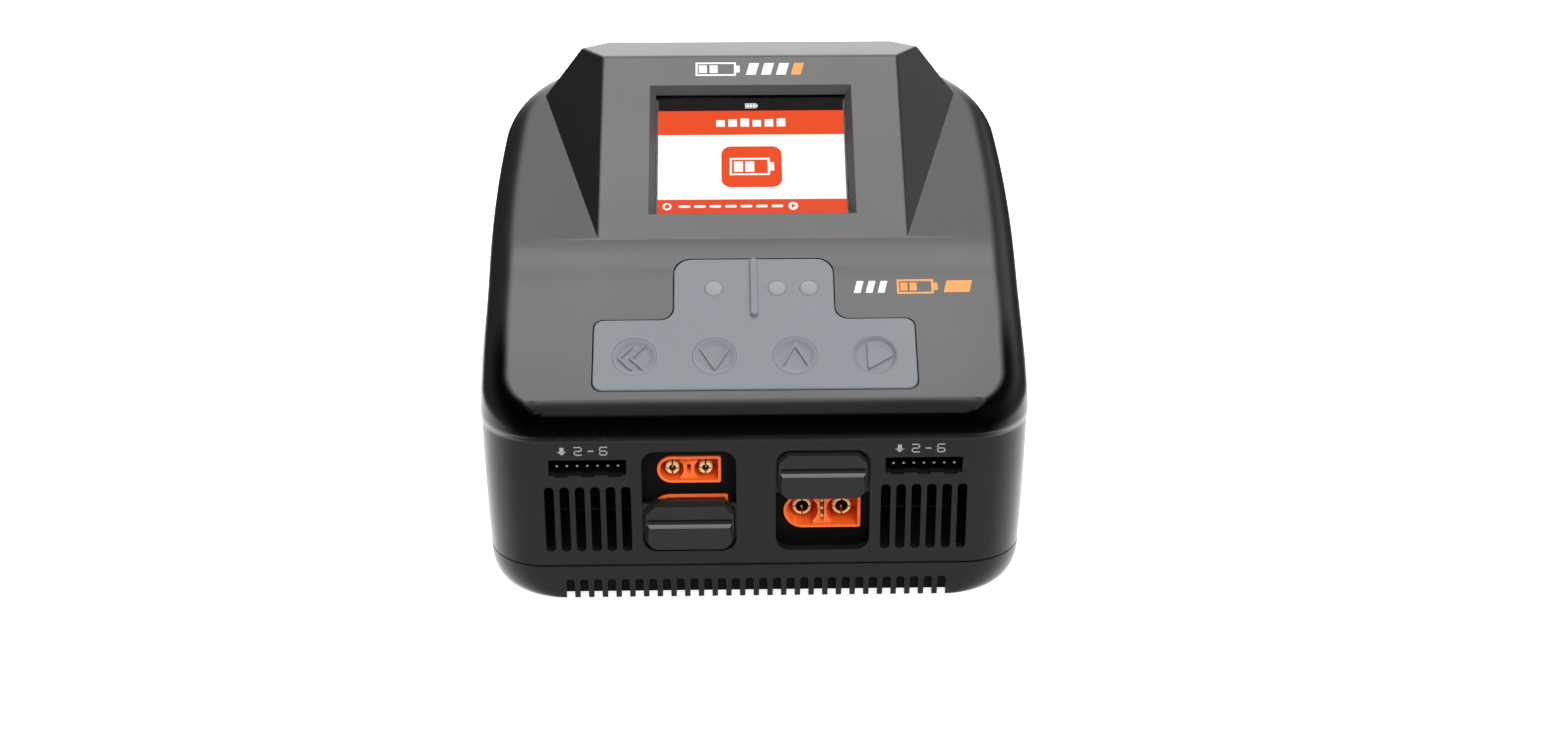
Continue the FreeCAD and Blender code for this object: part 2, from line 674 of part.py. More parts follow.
def build_signal_pins(side):
    x = side * PORT_X
    return [box((x - SIGNAL_HALF, x + SIGNAL_HALF), (CONNECTOR_FACE_Y + 0.1, CONNECTOR_FACE_Y + LARGE_DEPTH),
                (LARGE_Z + dz - SIGNAL_HALF, LARGE_Z + dz + SIGNAL_HALF)) for dz in SIGNAL_Z]


def build_shutter(side, low_z):
    """Sliding cover with a finger ledge, held by a wider flange behind the front wall."""
    x = side * PORT_X
    high_z = low_z + SHUTTER_H
    half = SHUTTER_HALF_W
    face = rounded_box((x - half, x + half), (SHUTTER_FACE_Y, SHUTTER_FLANGE_Y[1]), (low_z, high_z),
                       SHUTTER_CORNER_R, Y_AXIS)
    ledge_low, ledge_high = low_z + SHUTTER_LEDGE_Z[0], low_z + SHUTTER_LEDGE_Z[1]
    ledge_points = [V(x - half + 0.6, SHUTTER_FACE_Y + 0.5, ledge_low - 1.0),
                    V(x - half + 0.6, SHUTTER_FACE_Y - SHUTTER_LEDGE, ledge_low + 0.6),
                    V(x - half + 0.6, SHUTTER_FACE_Y - SHUTTER_LEDGE, ledge_high - 0.4),
                    V(x - half + 0.6, SHUTTER_FACE_Y + 0.5, ledge_high)]
    ledge = face_of(ledge_points).extrude(V(2 * half - 1.2, 0, 0))
    flange = box((x - SHUTTER_FLANGE_W, x + SHUTTER_FLANGE_W), SHUTTER_FLANGE_Y,
                 (low_z + 0.6, high_z - 0.6))
    return fused([face, ledge, flange])


# ---- balance sockets ----
def build_balance_header(side):
    x = side * BALANCE_X
    wall = BALANCE_WALL
    outer = box((x - BALANCE_W / 2 - wall, x + BALANCE_W / 2 + wall),
                (FRONT_Y + WALL, BALANCE_BODY_Y), (BALANCE_H[0] - wall, BALANCE_H[1] + wall))
    mouth = box((x - BALANCE_W / 2, x + BALANCE_W / 2), (FRONT_Y, BALANCE_FLOOR_Y), BALANCE_H)
    return outer.cut([mouth] + balance_pin_solids(side))


def balance_pin_solids(side):
    half = BALANCE_PIN_HALF
    pins = []
    for index in range(BALANCE_PINS):
        x = side * BALANCE_X + (index - (BALANCE_PINS - 1) / 2) * BALANCE_PITCH
        pins.append(box((x - half, x + half), (FRONT_Y + 1.0, BALANCE_BODY_Y + 3),
                        (BALANCE_Z - half, BALANCE_Z + half)))
    return pins


# ---- rear fan, inlet and socket ----
def fan_front_y():
    return REAR_Y - WALL - 0.1 - FAN_T


def build_fan_frame():
    y = fan_front_y()
    frame = rounded_box((FAN_X - FAN_HALF, FAN_X + FAN_HALF), (y, y + FAN_T),
                        (FAN_Z - FAN_HALF, FAN_Z + FAN_HALF), 3.0, Y_AXIS)
    frame = frame.cut(cylinder(FAN_BORE_R, FAN_T + 2, V(FAN_X, y - 1, FAN_Z), Y_AXIS))
    hub = cylinder(FAN_HUB_R, 1.6, V(FAN_X, y, FAN_Z), Y_AXIS)
    axle = cylinder(FAN_AXLE_R, FAN_T - 3, V(FAN_X, y, FAN_Z), Y_AXIS)
    struts = []
    for index in range(3):
        strut = box((0, FAN_BORE_R + 1), (y, y + 1.6), (-1.2, 1.2))
        strut.rotate(V(0, 0, 0), Y_AXIS, 90 + index * 120)
        strut.translate(V(FAN_X, 0, FAN_Z))
        struts.append(strut)
    holes = [cylinder(1.55, FAN_T + 2, V(x, y - 1, z), Y_AXIS) for x, z in fan_screw_points()]
    return fused([frame, hub] + struts).cut(holes).fuse(axle).removeSplitter()


def build_fan_rotor():
    y = fan_front_y() + 2.2
    depth = FAN_T - 4.0
    hub = cylinder(FAN_HUB_R, depth, V(FAN_X, y, FAN_Z), Y_AXIS)
    ring = cylinder(FAN_BLADE_R, depth, V(FAN_X, y, FAN_Z), Y_AXIS)
    blades = []
    for index in range(FAN_BLADES):
        blade = box((FAN_HUB_R - 1.5, FAN_BLADE_R + 1), (-8, 8), (-0.6, 0.6))
        blade.rotate(V(0, 0, 0), X_AXIS, 52)
        blade.translate(V(0, y + depth / 2, 0))
        blade.rotate(V(0, 0, 0), Y_AXIS, index * 360 / FAN_BLADES)
        blade.translate(V(FAN_X, 0, FAN_Z))
        blades.append(blade.common(ring))
    bore = cylinder(FAN_AXLE_R + 0.06, depth - 0.6, V(FAN_X, y - 0.01, FAN_Z), Y_AXIS)
    return fused([hub] + blades).cut(bore)


def build_fan_screws():
    y = REAR_Y
    return [cylinder(2.6, 1.2, V(x, y, z), Y_AXIS).fuse(cylinder(1.5, 14, V(x, y - 14, z), Y_AXIS))
            for x, z in fan_screw_points()]


def inlet_pin_boxes():
    pins = []
    for index, (dx, dz) in enumerate(((-INLET_PIN_PITCH, -2.0), (0, 3.0), (INLET_PIN_PITCH, -2.0))):
        x, z = INLET_X + dx, INLET_Z + dz
        pins.append(box((x - 1.0, x + 1.0), (REAR_Y - INLET_DEPTH - 4, REAR_Y - 1.0), (z - 2.0, z + 2.0)))
    return pins


def build_inlet():
    body = inlet_outline(INLET_HALF_W, INLET_HALF_H, (REAR_Y - INLET_DEPTH - 2, REAR_Y))
    flange = box((INLET_X - INLET_HALF_W - INLET_FLANGE, INLET_X + INLET_HALF_W + INLET_FLANGE),
                 (REAR_Y, REAR_Y + 1.5),
                 (INLET_Z - INLET_HALF_H - INLET_FLANGE, INLET_Z + INLET_HALF_H + INLET_FLANGE))
    mouth = inlet_outline(INLET_HALF_W - INLET_WALL, INLET_HALF_H - INLET_WALL,
                          (REAR_Y - INLET_DEPTH, REAR_Y + 3))
    return body.fuse(flange).cut([mouth] + inlet_pin_boxes())


def build_usb_socket():
    outer = box((USB_X - USB_HALF_W, USB_X + USB_HALF_W), (REAR_Y - 7, REAR_Y - 0.2),
                (USB_Z - USB_HALF_H, USB_Z + USB_HALF_H))
    mouth = box((USB_X - USB_HALF_W + 0.4, USB_X + USB_HALF_W - 0.4), (REAR_Y - 6, REAR_Y + 1),
                (USB_Z - USB_HALF_H + 0.4, USB_Z + USB_HALF_H - 0.4))
    tongue = box((USB_X - 2.4, USB_X + 2.4), (REAR_Y - 6, REAR_Y - 1), (USB_Z - 0.3, USB_Z + 0.3))
    return outer.cut(mouth).fuse(tongue)


# ---- boards and power parts ----
def board_screw_points():
    x = BOARD_HALF_W - 4
    return [(side * x, y) for side in (-1, 1) for y in (BOARD_Y[0] + 3, BOARD_Y[1] - 4)]


def build_main_board():
    board = box((-BOARD_HALF_W, BOARD_HALF_W), BOARD_Y, (BOARD_Z, BOARD_Z + BOARD_T))
    return board.cut([cylinder(SCREW_R + 0.05, 4, V(x, y, BOARD_Z - 1)) for x, y in board_screw_points()])


def build_board_screws():
    top = BOARD_Z + BOARD_T
    return [cylinder(SCREW_R, 5, V(x, y, top - 5)).fuse(cylinder(SCREW_HEAD_R, 1.8, V(x, y, top)))
            for x, y in board_screw_points()]


def build_front_board():
    return box((-54, 54), (FRONT_BOARD_Y, FRONT_BOARD_Y + BOARD_T), (PART_Z, 46.0))


def build_transformer_core():
    width, depth, height = CORE_SIZE
    core = box((-width / 2, width / 2), (CORE_Y - depth / 2, CORE_Y + depth / 2), (PART_Z, PART_Z + height))
    window = box((-width / 2 + 5, width / 2 - 5), (CORE_Y - depth, CORE_Y + depth),
                 (PART_Z + 5, PART_Z + height - 5))
    limb = box((-4, 4), (CORE_Y - depth / 2, CORE_Y + depth / 2), (PART_Z + 5, PART_Z + height - 5))
    return core.cut(window).fuse(limb).removeSplitter()


def build_transformer_winding():
    width, depth, height = CORE_SIZE
    z_range = (PART_Z + 5.4, PART_Z + height - 5.4)
    coil = rounded_box((-width / 2 + 5.4, width / 2 - 5.4), (CORE_Y - depth / 2 - 3, CORE_Y + depth / 2 + 3),
                       z_range, 3.0)
    return coil.cut(box((-4.3, 4.3), (CORE_Y - depth / 2 - 0.3, CORE_Y + depth / 2 + 0.3),
                        (0, PART_Z + height)))


def build_heatsink(side):
    base = box(HEATSINK_X, HEATSINK_Y, (PART_Z, PART_Z + HEATSINK_H))
    pitch = (HEATSINK_X[1] - HEATSINK_X[0] - 3.0) / HEATSINK_FINS
    gaps = []
    for index in range(HEATSINK_FINS):
        x = HEATSINK_X[0] + 3.0 + index * pitch
        gaps.append(box((x, x + pitch - 1.2), (HEATSINK_Y[0] - 1, HEATSINK_Y[1] + 1),
                        (PART_Z + 4, PART_Z + HEATSINK_H + 1)))
    clear = [cylinder(SCREW_HEAD_R + 0.4, 3, V(x, y, PART_Z)) for x, y in board_screw_points()]
    sink = base.cut(gaps + clear)
    return sink if side > 0 else mirrored(sink)


def build_capacitors():
    return [cylinder(CAN_R, CAN_H, V(CAN_X, y, PART_Z)) for y in CAN_Y]


def build_output_capacitors():
    return [cylinder(SMALL_CAN_R, SMALL_CAN_H, V(x, -26, PART_Z)) for x in (-13, -4, 5, 14)]


def build_toroids():
    return [Part.makeTorus(TOROID_R - TOROID_HALF, TOROID_HALF, V(TOROID_X, y, PART_Z + TOROID_HALF))
            for y in TOROID_Y]


def build_buzzer():
    return cylinder(5.0, 7.0, V(14, 27, PART_Z))


def build_mains_wires():
    """Two wires from the back of the inlet down to the main board."""
    solids = []
    for side in (-1, 1):
        x = INLET_X + side * INLET_PIN_PITCH
        y_end = 34.0
        start = V(x, REAR_Y - INLET_DEPTH - 4, INLET_Z - 2.0)
        corner = V(x, y_end, INLET_Z - 2.0)
        foot = V(x, y_end, PART_Z)
        run = start.y - corner.y
        bend_r = 5.0
        first = cylinder(1.1, run - bend_r, corner + V(0, bend_r, 0), Y_AXIS)
        second = cylinder(1.1, corner.z - foot.z - bend_r, foot)
        ring = Part.makeTorus(bend_r, 1.1, corner + V(0, bend_r, -bend_r), X_AXIS)
        quarter = box((x - 3, x + 3), (corner.y - 3, corner.y + bend_r), (corner.z - bend_r, corner.z + 3))
        solids.append(fused([first, ring.common(quarter), second]))
    return solids


def build_feet():
    return [cylinder(FOOT_R, FOOT_H, V(sx * FOOT_X, sy * FOOT_Y, 0)) for sx in (-1, 1) for sy in (-1, 1)]


def build_case_screws():
    under = FLOOR_Z - 0.02
    return [cylinder(SCREW_HEAD_R, SCREW_HEAD_H, V(x, y, under - SCREW_HEAD_H)).fuse(
        cylinder(SCREW_R, SCREW_LEN, V(x, y, under))) for x, y in screw_points()]


def main():
    os.makedirs(OUT, exist_ok=True)
    save("upper_case", build_upper_case())
    save("lower_case", build_lower_case())
    save("display_window", build_window())
    save("display_panel", build_panel())
    save("display_board", build_display_board())
    save("keypad_mat", build_keypad_mat())
    for name, x in zip(KEY_NAMES, KEY_X):
        save(name, build_key(x))
    save("key_channel_one", build_channel_key(DOT_ONE_X))
    save("key_channel_two", build_channel_key(DOT_TWO_X))
    save("key_board", build_key_board())
    save("key_switches", *build_switches())
    save("ribbon_cable", build_ribbon())
    for side, end in ((-1, "left"), (1, "right")):
        low_z = SHUTTER_LOW_Z + (SHUTTER_TRAVEL if side > 0 else 0)
        save("port_shutter_" + end, build_shutter(side, low_z))
        save("port_bay_" + end, build_bay(side))
        save("small_connector_" + end, build_small_housing(side))
        save("large_connector_" + end, build_large_housing(side))
        save("small_bullets_" + end,
             *build_bullets(side, SMALL_PIN_R, SMALL_Z, SMALL_PITCH, 0.2, SMALL_DEPTH, 1.1))
        save("large_bullets_" + end,
             *build_bullets(side, LARGE_PIN_R, LARGE_Z, LARGE_PITCH, 1.6, LARGE_DEPTH, 1.8))
        save("signal_pins_" + end, *build_signal_pins(side))
        save("balance_header_" + end, build_balance_header(side))
        save("balance_pins_" + end, *balance_pin_solids(side))
        save("heatsink_" + end, build_heatsink(side))
    save("front_board", build_front_board())
    save("main_board", build_main_board())
    save("board_screws", *build_board_screws())
    save("transformer_core", build_transformer_core())
    save("transformer_winding", build_transformer_winding())
    save("bulk_capacitors", *build_capacitors())
    save("output_capacitors", *build_output_capacitors())
    save("toroids", *build_toroids())
    save("buzzer", build_buzzer())
    save("fan_frame", build_fan_frame())
    save("fan_rotor", build_fan_rotor())
    save("fan_screws", *build_fan_screws())
    save("mains_inlet", build_inlet())
    save("inlet_pins", *inlet_pin_boxes())
    save("mains_wires", *build_mains_wires())
    save("usb_socket", build_usb_socket())
    save("rubber_feet", *build_feet())
    save("case_screws", *build_case_screws())


main()
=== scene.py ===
"""Balance battery charger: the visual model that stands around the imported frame."""
import logging
import math
from dataclasses import dataclass, field
from enum import Enum
from typing import Callable, Iterable, Sequence

import bmesh
import bpy
from mathutils import Matrix, Vector


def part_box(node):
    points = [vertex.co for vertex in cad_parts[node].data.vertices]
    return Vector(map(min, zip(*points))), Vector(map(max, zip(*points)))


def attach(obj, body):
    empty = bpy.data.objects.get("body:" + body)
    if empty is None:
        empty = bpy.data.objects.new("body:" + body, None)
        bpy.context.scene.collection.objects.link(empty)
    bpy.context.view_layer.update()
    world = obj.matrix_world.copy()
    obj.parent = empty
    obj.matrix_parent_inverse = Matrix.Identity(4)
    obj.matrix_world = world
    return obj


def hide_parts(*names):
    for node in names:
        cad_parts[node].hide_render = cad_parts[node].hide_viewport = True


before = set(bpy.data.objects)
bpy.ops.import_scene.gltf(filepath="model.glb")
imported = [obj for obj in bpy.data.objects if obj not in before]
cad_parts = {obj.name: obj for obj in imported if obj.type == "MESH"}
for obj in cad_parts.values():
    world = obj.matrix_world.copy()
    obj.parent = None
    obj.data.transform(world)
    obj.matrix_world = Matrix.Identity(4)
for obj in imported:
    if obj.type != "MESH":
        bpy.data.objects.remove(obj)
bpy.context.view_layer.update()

logging.basicConfig(level=logging.INFO, format="%(message)s")
log = logging.getLogger("charger")

MM = 0.001
CASE = "case"
Point2 = tuple[float, float]
Point3 = tuple[float, float, float]
Colour = tuple[float, float, float]
Piece = bpy.types.Object
Tree = bpy.types.NodeTree
Node = bpy.types.Node
Socket = bpy.types.NodeSocket


class Side(Enum):
    """The two output channels, seen from the front."""

    LEFT = -1
    RIGHT = 1

    @property
    def word(self) -> str:
        """The side's name as the frame's nodes spell it."""
        return self.name.lower()


class Merge(Enum):
    """How a second solid changes the first one."""

    ADD = "UNION"
    CUT = "DIFFERENCE"


# ---- small mathematics
def smooth_step(value: float) -> float:
    """Eases a value from 0 to 1 with flat ends."""
    clamped = min(max(value, 0.0), 1.0)
    return clamped * clamped * (3 - 2 * clamped)


def smooth_min(first: float, second: float, reach: float) -> float:
    """The lower of two values, with a rounded changeover of the given reach."""
    share = min(max(0.5 + 0.5 * (second - first) / reach, 0.0), 1.0)
    return second + (first - second) * share - reach * share * (1 - share)


def arc_points(centre: Point2, radius: float, start: float, end: float, steps: int) -> list[Point2]:
    """Points along an arc.

    Args:
        centre: Centre of the arc.
        radius: Radius of the arc.
        start: First angle in radians.
        end: Last angle in radians.
        steps: Number of chords.

    Returns:
        The points from the first angle to the last.
    """
    angles = [start + (end - start) * step / steps for step in range(steps + 1)]
    return [(centre[0] + radius * math.cos(a), centre[1] + radius * math.sin(a)) for a in angles]


def rounded_polygon(corners: Sequence[tuple[float, float, float]], steps: int = 6) -> list[Point2]:
    """A closed outline with an arc at each corner, inward corners included.

    Args:
        corners: Corner x, corner y and radius, in order round the outline.
        steps: Chords in each arc.

    Returns:
        The outline's points.
    """
    outline: list[Point2] = []
    count = len(corners)
    for index, (x, y, radius) in enumerate(corners):
        here = Vector((x, y))
        before = (Vector(corners[index - 1][:2]) - here).normalized()
        after = (Vector(corners[(index + 1) % count][:2]) - here).normalized()
        if radius <= 0:
            outline.append((x, y))
            continue
        half = before.angle(after) / 2
        centre = here + (before + after).normalized() * radius / math.sin(half)
        tangent = radius / math.tan(half)
        first = here + before * tangent - centre
        last = here + after * tangent - centre
        turn = math.atan2(first.x * last.y - first.y * last.x, first.dot(last))
        start = math.atan2(first.y, first.x)
        outline.extend(arc_points(tuple(centre), radius, start, start + turn, steps))
    return outline


def rectangle(x: Point2, y: Point2) -> list[Point2]:
    """A plain rectangle between two x and two y values."""
    return [(x[0], y[0]), (x[1], y[0]), (x[1], y[1]), (x[0], y[1])]


def rounded_rectangle(x: Point2, y: Point2, radius: float, steps: int = 6) -> list[Point2]:
    """A rectangle between two x and two y values with rounded corners."""
    return rounded_polygon([(*corner, radius) for corner in rectangle(x, y)], steps)


def circle(centre: Point2, radius: float, steps: int = 32) -> list[Point2]:
    """A closed circle of points."""
    return arc_points(centre, radius, 0, math.tau * (steps - 1) / steps, steps - 1)


# ---- mesh helpers
def linked(name: str, mesh: bpy.types.Mesh) -> Piece:
    """Puts a mesh into the scene as a new object at the origin."""
    piece = bpy.data.objects.new(name, mesh)
    bpy.context.scene.collection.objects.link(piece)
    return piece


def mesh_object(name: str, vertices: Sequence[Point3], faces: Sequence[Sequence[int]],
                place: Matrix | None = None) -> Piece:
    """Makes an object from millimetre points.

    Args:
        name: Name of the new object.
        vertices: Points in millimetres.
        faces: Indices of each face's points.
        place: Millimetre transform that puts the drawing on the charger.

    Returns:
        The new object, at the origin and in metres.
    """
    place = place or Matrix.Identity(4)
    mesh = bpy.data.meshes.new(name)
    mesh.from_pydata([tuple((place @ Vector(v)) * MM) for v in vertices], [], [list(f) for f in faces])
    piece = linked(name, mesh)
    with_bmesh(piece, lambda bm: bmesh.ops.recalc_face_normals(bm, faces=bm.faces))
    return piece


def with_bmesh(piece: Piece, work: Callable[[bmesh.types.BMesh], object]) -> None:
    """Runs one edit on a piece's mesh."""
    bm = bmesh.new()
    bm.from_mesh(piece.data)
    work(bm)
    bm.to_mesh(piece.data)
    bm.free()
    piece.data.update()


def strip_faces(rings: int, count: int) -> list[list[int]]:
    """Quads that join rings with the same number of points, each closed on itself."""
    return [[ring * count + i, ring * count + (i + 1) % count, (ring + 1) * count + (i + 1) % count,
             (ring + 1) * count + i] for ring in range(rings - 1) for i in range(count)]


def frustum(name: str, back: Sequence[Point2], front: Sequence[Point2], low: float, high: float,
            place: Matrix | None = None) -> Piece:
    """Joins two flat outlines of the same count at two heights.

    Args:
        name: Name of the new object.
        back: Outline at the lower height.
        front: Outline at the upper height.
        low: Lower height.
        high: Upper height.
        place: Transform of the drawing.

    Returns:
        The closed solid.
    """
    count = len(back)
    vertices = [(x, y, low) for x, y in back] + [(x, y, high) for x, y in front]
    faces = strip_faces(2, count) + [list(range(count))[::-1], list(range(count, 2 * count))]
    return mesh_object(name, vertices, faces, place)


def prism(name: str, outline: Sequence[Point2], low: float, high: float, place: Matrix | None = None) -> Piece:
    """Extrudes a flat outline between two heights."""
    return frustum(name, outline, outline, low, high, place)


def lathe(name: str, profile: Sequence[Point2], steps: int, place: Matrix | None = None) -> Piece:
    """Turns a profile of radius and height about the local Z axis; its two ends lie on the axis.

    Args:
        name: Name of the new object.
        profile: Radius and height of each profile point, from the axis and back to it.
        steps: Number of sides.
        place: Transform of the drawing.

    Returns:
        The closed solid.
    """
    rings = profile[1:-1]
    vertices: list[Point3] = [(0, 0, profile[0][1]), (0, 0, profile[-1][1])]
    for radius, height in rings:
        for x, y in circle((0, 0), radius, steps):
            vertices.append((x, y, height))
    faces: list[list[int]] = []
    for side in range(steps):
        nearby = (side + 1) % steps
        faces.append([0, 2 + nearby, 2 + side])
        for ring in range(len(rings) - 1):
            start = 2 + ring * steps
            faces.append([start + side, start + nearby, start + steps + nearby, start + steps + side])
        last = 2 + (len(rings) - 1) * steps
        faces.append([1, last + side, last + nearby])
    return mesh_object(name, vertices, faces, place)


def settle(piece: Piece) -> Piece:
    """Replaces a piece's mesh with what its modifiers make of it."""
    graph = bpy.context.evaluated_depsgraph_get()
    result = bpy.data.meshes.new_from_object(piece.evaluated_get(graph))
    piece.modifiers.clear()
    piece.data = result
    return piece


def discard(*pieces: Piece) -> None:
    """Removes helper objects."""
    for piece in pieces:
        bpy.data.objects.remove(piece)


def merge(piece: Piece, how: Merge, *tools: Piece) -> Piece:
    """Adds solids to a piece or cuts them from it, and removes them.

    Args:
        piece: The solid that is changed.
        how: Whether the tools are added or cut.
        *tools: The other solids.

    Returns:
        The changed piece.
    """
    for tool in tools:
        step = piece.modifiers.new("merge", "BOOLEAN")
        step.operation = how.value
        step.solver = "EXACT"
        step.object = tool
    settle(piece)
    discard(*tools)
    return piece


def joined(name: str, pieces: Sequence[Piece]) -> Piece:
    """Gathers pieces that don't touch into one object."""
    whole = bmesh.new()
    for piece in pieces:
        whole.from_mesh(piece.data)
    mesh = bpy.data.meshes.new(name)
    whole.to_mesh(mesh)
    whole.free()
    discard(*pieces)
    return linked(name, mesh)


def smooth(piece: Piece, angle: float = 32.0) -> Piece:
    """Shades a piece smooth up to an angle, with large faces leading the normals."""
    piece.data.shade_smooth()
    piece.data.set_sharp_from_angle(angle=math.radians(angle))
    weighted = piece.modifiers.new("normals", "WEIGHTED_NORMAL")
    weighted.keep_sharp = True
    return settle(piece)


def bevelled(piece: Piece, width: float, segments: int, angle: float) -> Piece:
    """Bevels edges sharper than an angle in degrees by a width in millimetres."""
    bevel = piece.modifiers.new("edges", "BEVEL")
    bevel.width = width * MM
    bevel.segments = segments
    bevel.limit_method = "ANGLE"
    bevel.angle_limit = math.radians(angle)
    return settle(piece)


def soften(piece: Piece, width: float, segments: int = 2, angle: float = 32.0) -> Piece:
    """Rounds a piece's sharp edges by a width in millimetres."""
    return smooth(bevelled(piece, width, segments, angle), angle + 8)


def refined(node: str, width: float = 0.2, segments: int = 2) -> Piece:
    """A copy of a frame node with merged faces and softened edges.

    Args:
        node: Name of the frame's node.
        width: Size of the softened edge in millimetres.
        segments: Steps across the softened edge.

    Returns:
        The new piece.
    """
    piece = linked(node + "_made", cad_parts[node].data.copy())
    piece.data.materials.clear()

    def clean(bm: bmesh.types.BMesh) -> None:
        """Merges doubles and flat faces."""
        bmesh.ops.remove_doubles(bm, verts=bm.verts, dist=0.002 * MM)
        bmesh.ops.dissolve_limit(bm, angle_limit=math.radians(1.0), verts=bm.verts, edges=bm.edges)

    with_bmesh(piece, clean)
    return soften(piece, width, segments)


# ---- repeats by Geometry Nodes
class Repeater:
    """Geometry Nodes trees that repeat one drawn item in a row or round an axis."""

    def __init__(self) -> None:
        """Builds the two trees."""
        self.row_tree = self._tree("item_row", "Step")
        self.ring_tree = self._tree("item_ring", "Turn")

    @staticmethod
    def _tree(name: str, vector: str) -> Tree:
        """Builds one tree.

        Args:
            name: Name of the tree.
            vector: Name of its vector input: "Step" moves each item on, "Turn" rotates it on.

        Returns:
            The tree, which ends in Realize Instances and Set Material.
        """
        tree = bpy.data.node_groups.new(name, "GeometryNodeTree")
        inputs = (("Item", "NodeSocketGeometry"), ("Count", "NodeSocketInt"), (vector, "NodeSocketVector"),
                  ("Finish", "NodeSocketMaterial"))
        for label, kind in inputs:
            tree.interface.new_socket(name=label, in_out="INPUT", socket_type=kind)
        tree.interface.new_socket(name="Items", in_out="OUTPUT", socket_type="NodeSocketGeometry")
        add, link = tree.nodes.new, tree.links.new
        source, sink = add("NodeGroupInput"), add("NodeGroupOutput")
        line, spread = add("GeometryNodeMeshLine"), add("GeometryNodeInstanceOnPoints")
        real, dress_up = add("GeometryNodeRealizeInstances"), add("GeometryNodeSetMaterial")
        line.inputs["Offset"].default_value = (0, 0, 0)
        link(source.outputs["Count"], line.inputs["Count"])
        link(line.outputs["Mesh"], spread.inputs["Points"])
        link(source.outputs["Item"], spread.inputs["Instance"])
        if vector == "Step":
            link(source.outputs[vector], line.inputs["Offset"])
        else:
            index, scale = add("GeometryNodeInputIndex"), add("ShaderNodeVectorMath")
            scale.operation = "SCALE"
            link(source.outputs[vector], scale.inputs[0])
            link(index.outputs[0], scale.inputs["Scale"])
            link(scale.outputs[0], spread.inputs["Rotation"])
        link(spread.outputs["Instances"], real.inputs["Geometry"])
        link(real.outputs["Geometry"], dress_up.inputs["Geometry"])
        link(source.outputs["Finish"], dress_up.inputs["Material"])
        link(dress_up.outputs["Geometry"], sink.inputs["Items"])
        return tree

    def _repeat(self, tree: Tree, piece: Piece, count: int, vector: Point3) -> Piece:
        """Runs one tree on a piece and keeps the plain mesh that it makes."""
        step = piece.modifiers.new("repeat", "NODES")
        step.node_group = tree
        sockets = {item.name: item.identifier for item in tree.interface.items_tree if item.in_out == "INPUT"}
        step[sockets["Count"]] = count
        step[sockets["Turn" if "Turn" in sockets else "Step"]] = vector
        step[sockets["Finish"]] = piece.data.materials[0] if piece.data.materials else None
        return settle(piece)

    def row(self, piece: Piece, count: int, step: Point3) -> Piece:
        """Repeats a piece in a row.

        Args:
            piece: The first item.
            count: Number of items.
            step: Move from one item to the next, in millimetres.

        Returns:
            The same piece with all its items.
        """
        return self._repeat(self.row_tree, piece, count, tuple(v * MM for v in step))

    def ring(self, piece: Piece, count: int, axis: Point3) -> Piece:
        """Repeats a piece round one of the main axes through the origin.

        Args:
            piece: The first item.
            count: Number of items.
            axis: The axis, as 1 in one place.

        Returns:
            The same piece with all its items.
        """
        return self._repeat(self.ring_tree, piece, count, tuple(v * math.tau / count for v in axis))


REPEAT = Repeater()


# ---- shader helpers
class Graph:
    """A node tree with short calls for adding and linking nodes."""

    def __init__(self, tree: Tree) -> None:
        """Keeps the tree."""
        self.tree = tree

    def add(self, kind: str, **values: object) -> Node:
        """Adds a node; a value named like an input sets it, any other sets a property."""
        node = self.tree.nodes.new(kind)
        for name, value in values.items():
            plain = name.replace("_", " ")
            if plain in node.inputs:
                node.inputs[plain].default_value = value
            else:
                setattr(node, name, value)
        return node

    def link(self, start: Socket, end: Socket) -> None:
        """Joins two sockets."""
        self.tree.links.new(start, end)

    def math(self, operation: str, first: object, second: object = 0.0) -> Socket:
        """Adds a maths node on sockets or numbers and returns its output."""
        node = self.add("ShaderNodeMath", operation=operation)
        for index, value in enumerate((first, second)):
            if isinstance(value, Socket):
                self.link(value, node.inputs[index])
            else:
                node.inputs[index].default_value = value
        return node.outputs[0]

    def ramp(self, value: Socket, low: float, high: float, to_low: float, to_high: float) -> Socket:
        """Maps a value from one range to another, clamped."""
        node = self.add("ShaderNodeMapRange")
        for name, number in (("From Min", low), ("From Max", high), ("To Min", to_low), ("To Max", to_high)):
            node.inputs[name].default_value = number
        self.link(value, node.inputs["Value"])
        return node.outputs["Result"]

    def blend(self, factor: Socket, first: Sequence[float] | Socket, second: Sequence[float] | Socket) -> Socket:
        """Mixes two colours, given as values or sockets."""
        node = self.add("ShaderNodeMix", data_type="RGBA")
        self.link(factor, node.inputs["Factor"])
        for socket, value in ((node.inputs[6], first), (node.inputs[7], second)):
            if isinstance(value, Socket):
                self.link(value, socket)
            else:
                socket.default_value = (*value[:3], 1.0)
        return node.outputs[2]


def effect_group(name: str, value: str, default: float, *outputs: str) -> tuple[Tree, Graph, Node, Node]:
    """Starts a shader node group with a vector input, one value input and float outputs.

    Args:
        name: Name of the group.
        value: Name of the value input.
        default: Its default.
        *outputs: Names of the outputs.

    Returns:
        The tree, its graph, its input node and its output node.
    """
    tree = bpy.data.node_groups.new(name, "ShaderNodeTree")
    tree.interface.new_socket(name="Vector", in_out="INPUT", socket_type="NodeSocketVector")
    tree.interface.new_socket(name=value, in_out="INPUT", socket_type="NodeSocketFloat").default_value = default
    for label in outputs:
        tree.interface.new_socket(name=label, in_out="OUTPUT", socket_type="NodeSocketFloat")
    graph = Graph(tree)
    return tree, graph, graph.add("NodeGroupInput"), graph.add("NodeGroupOutput")


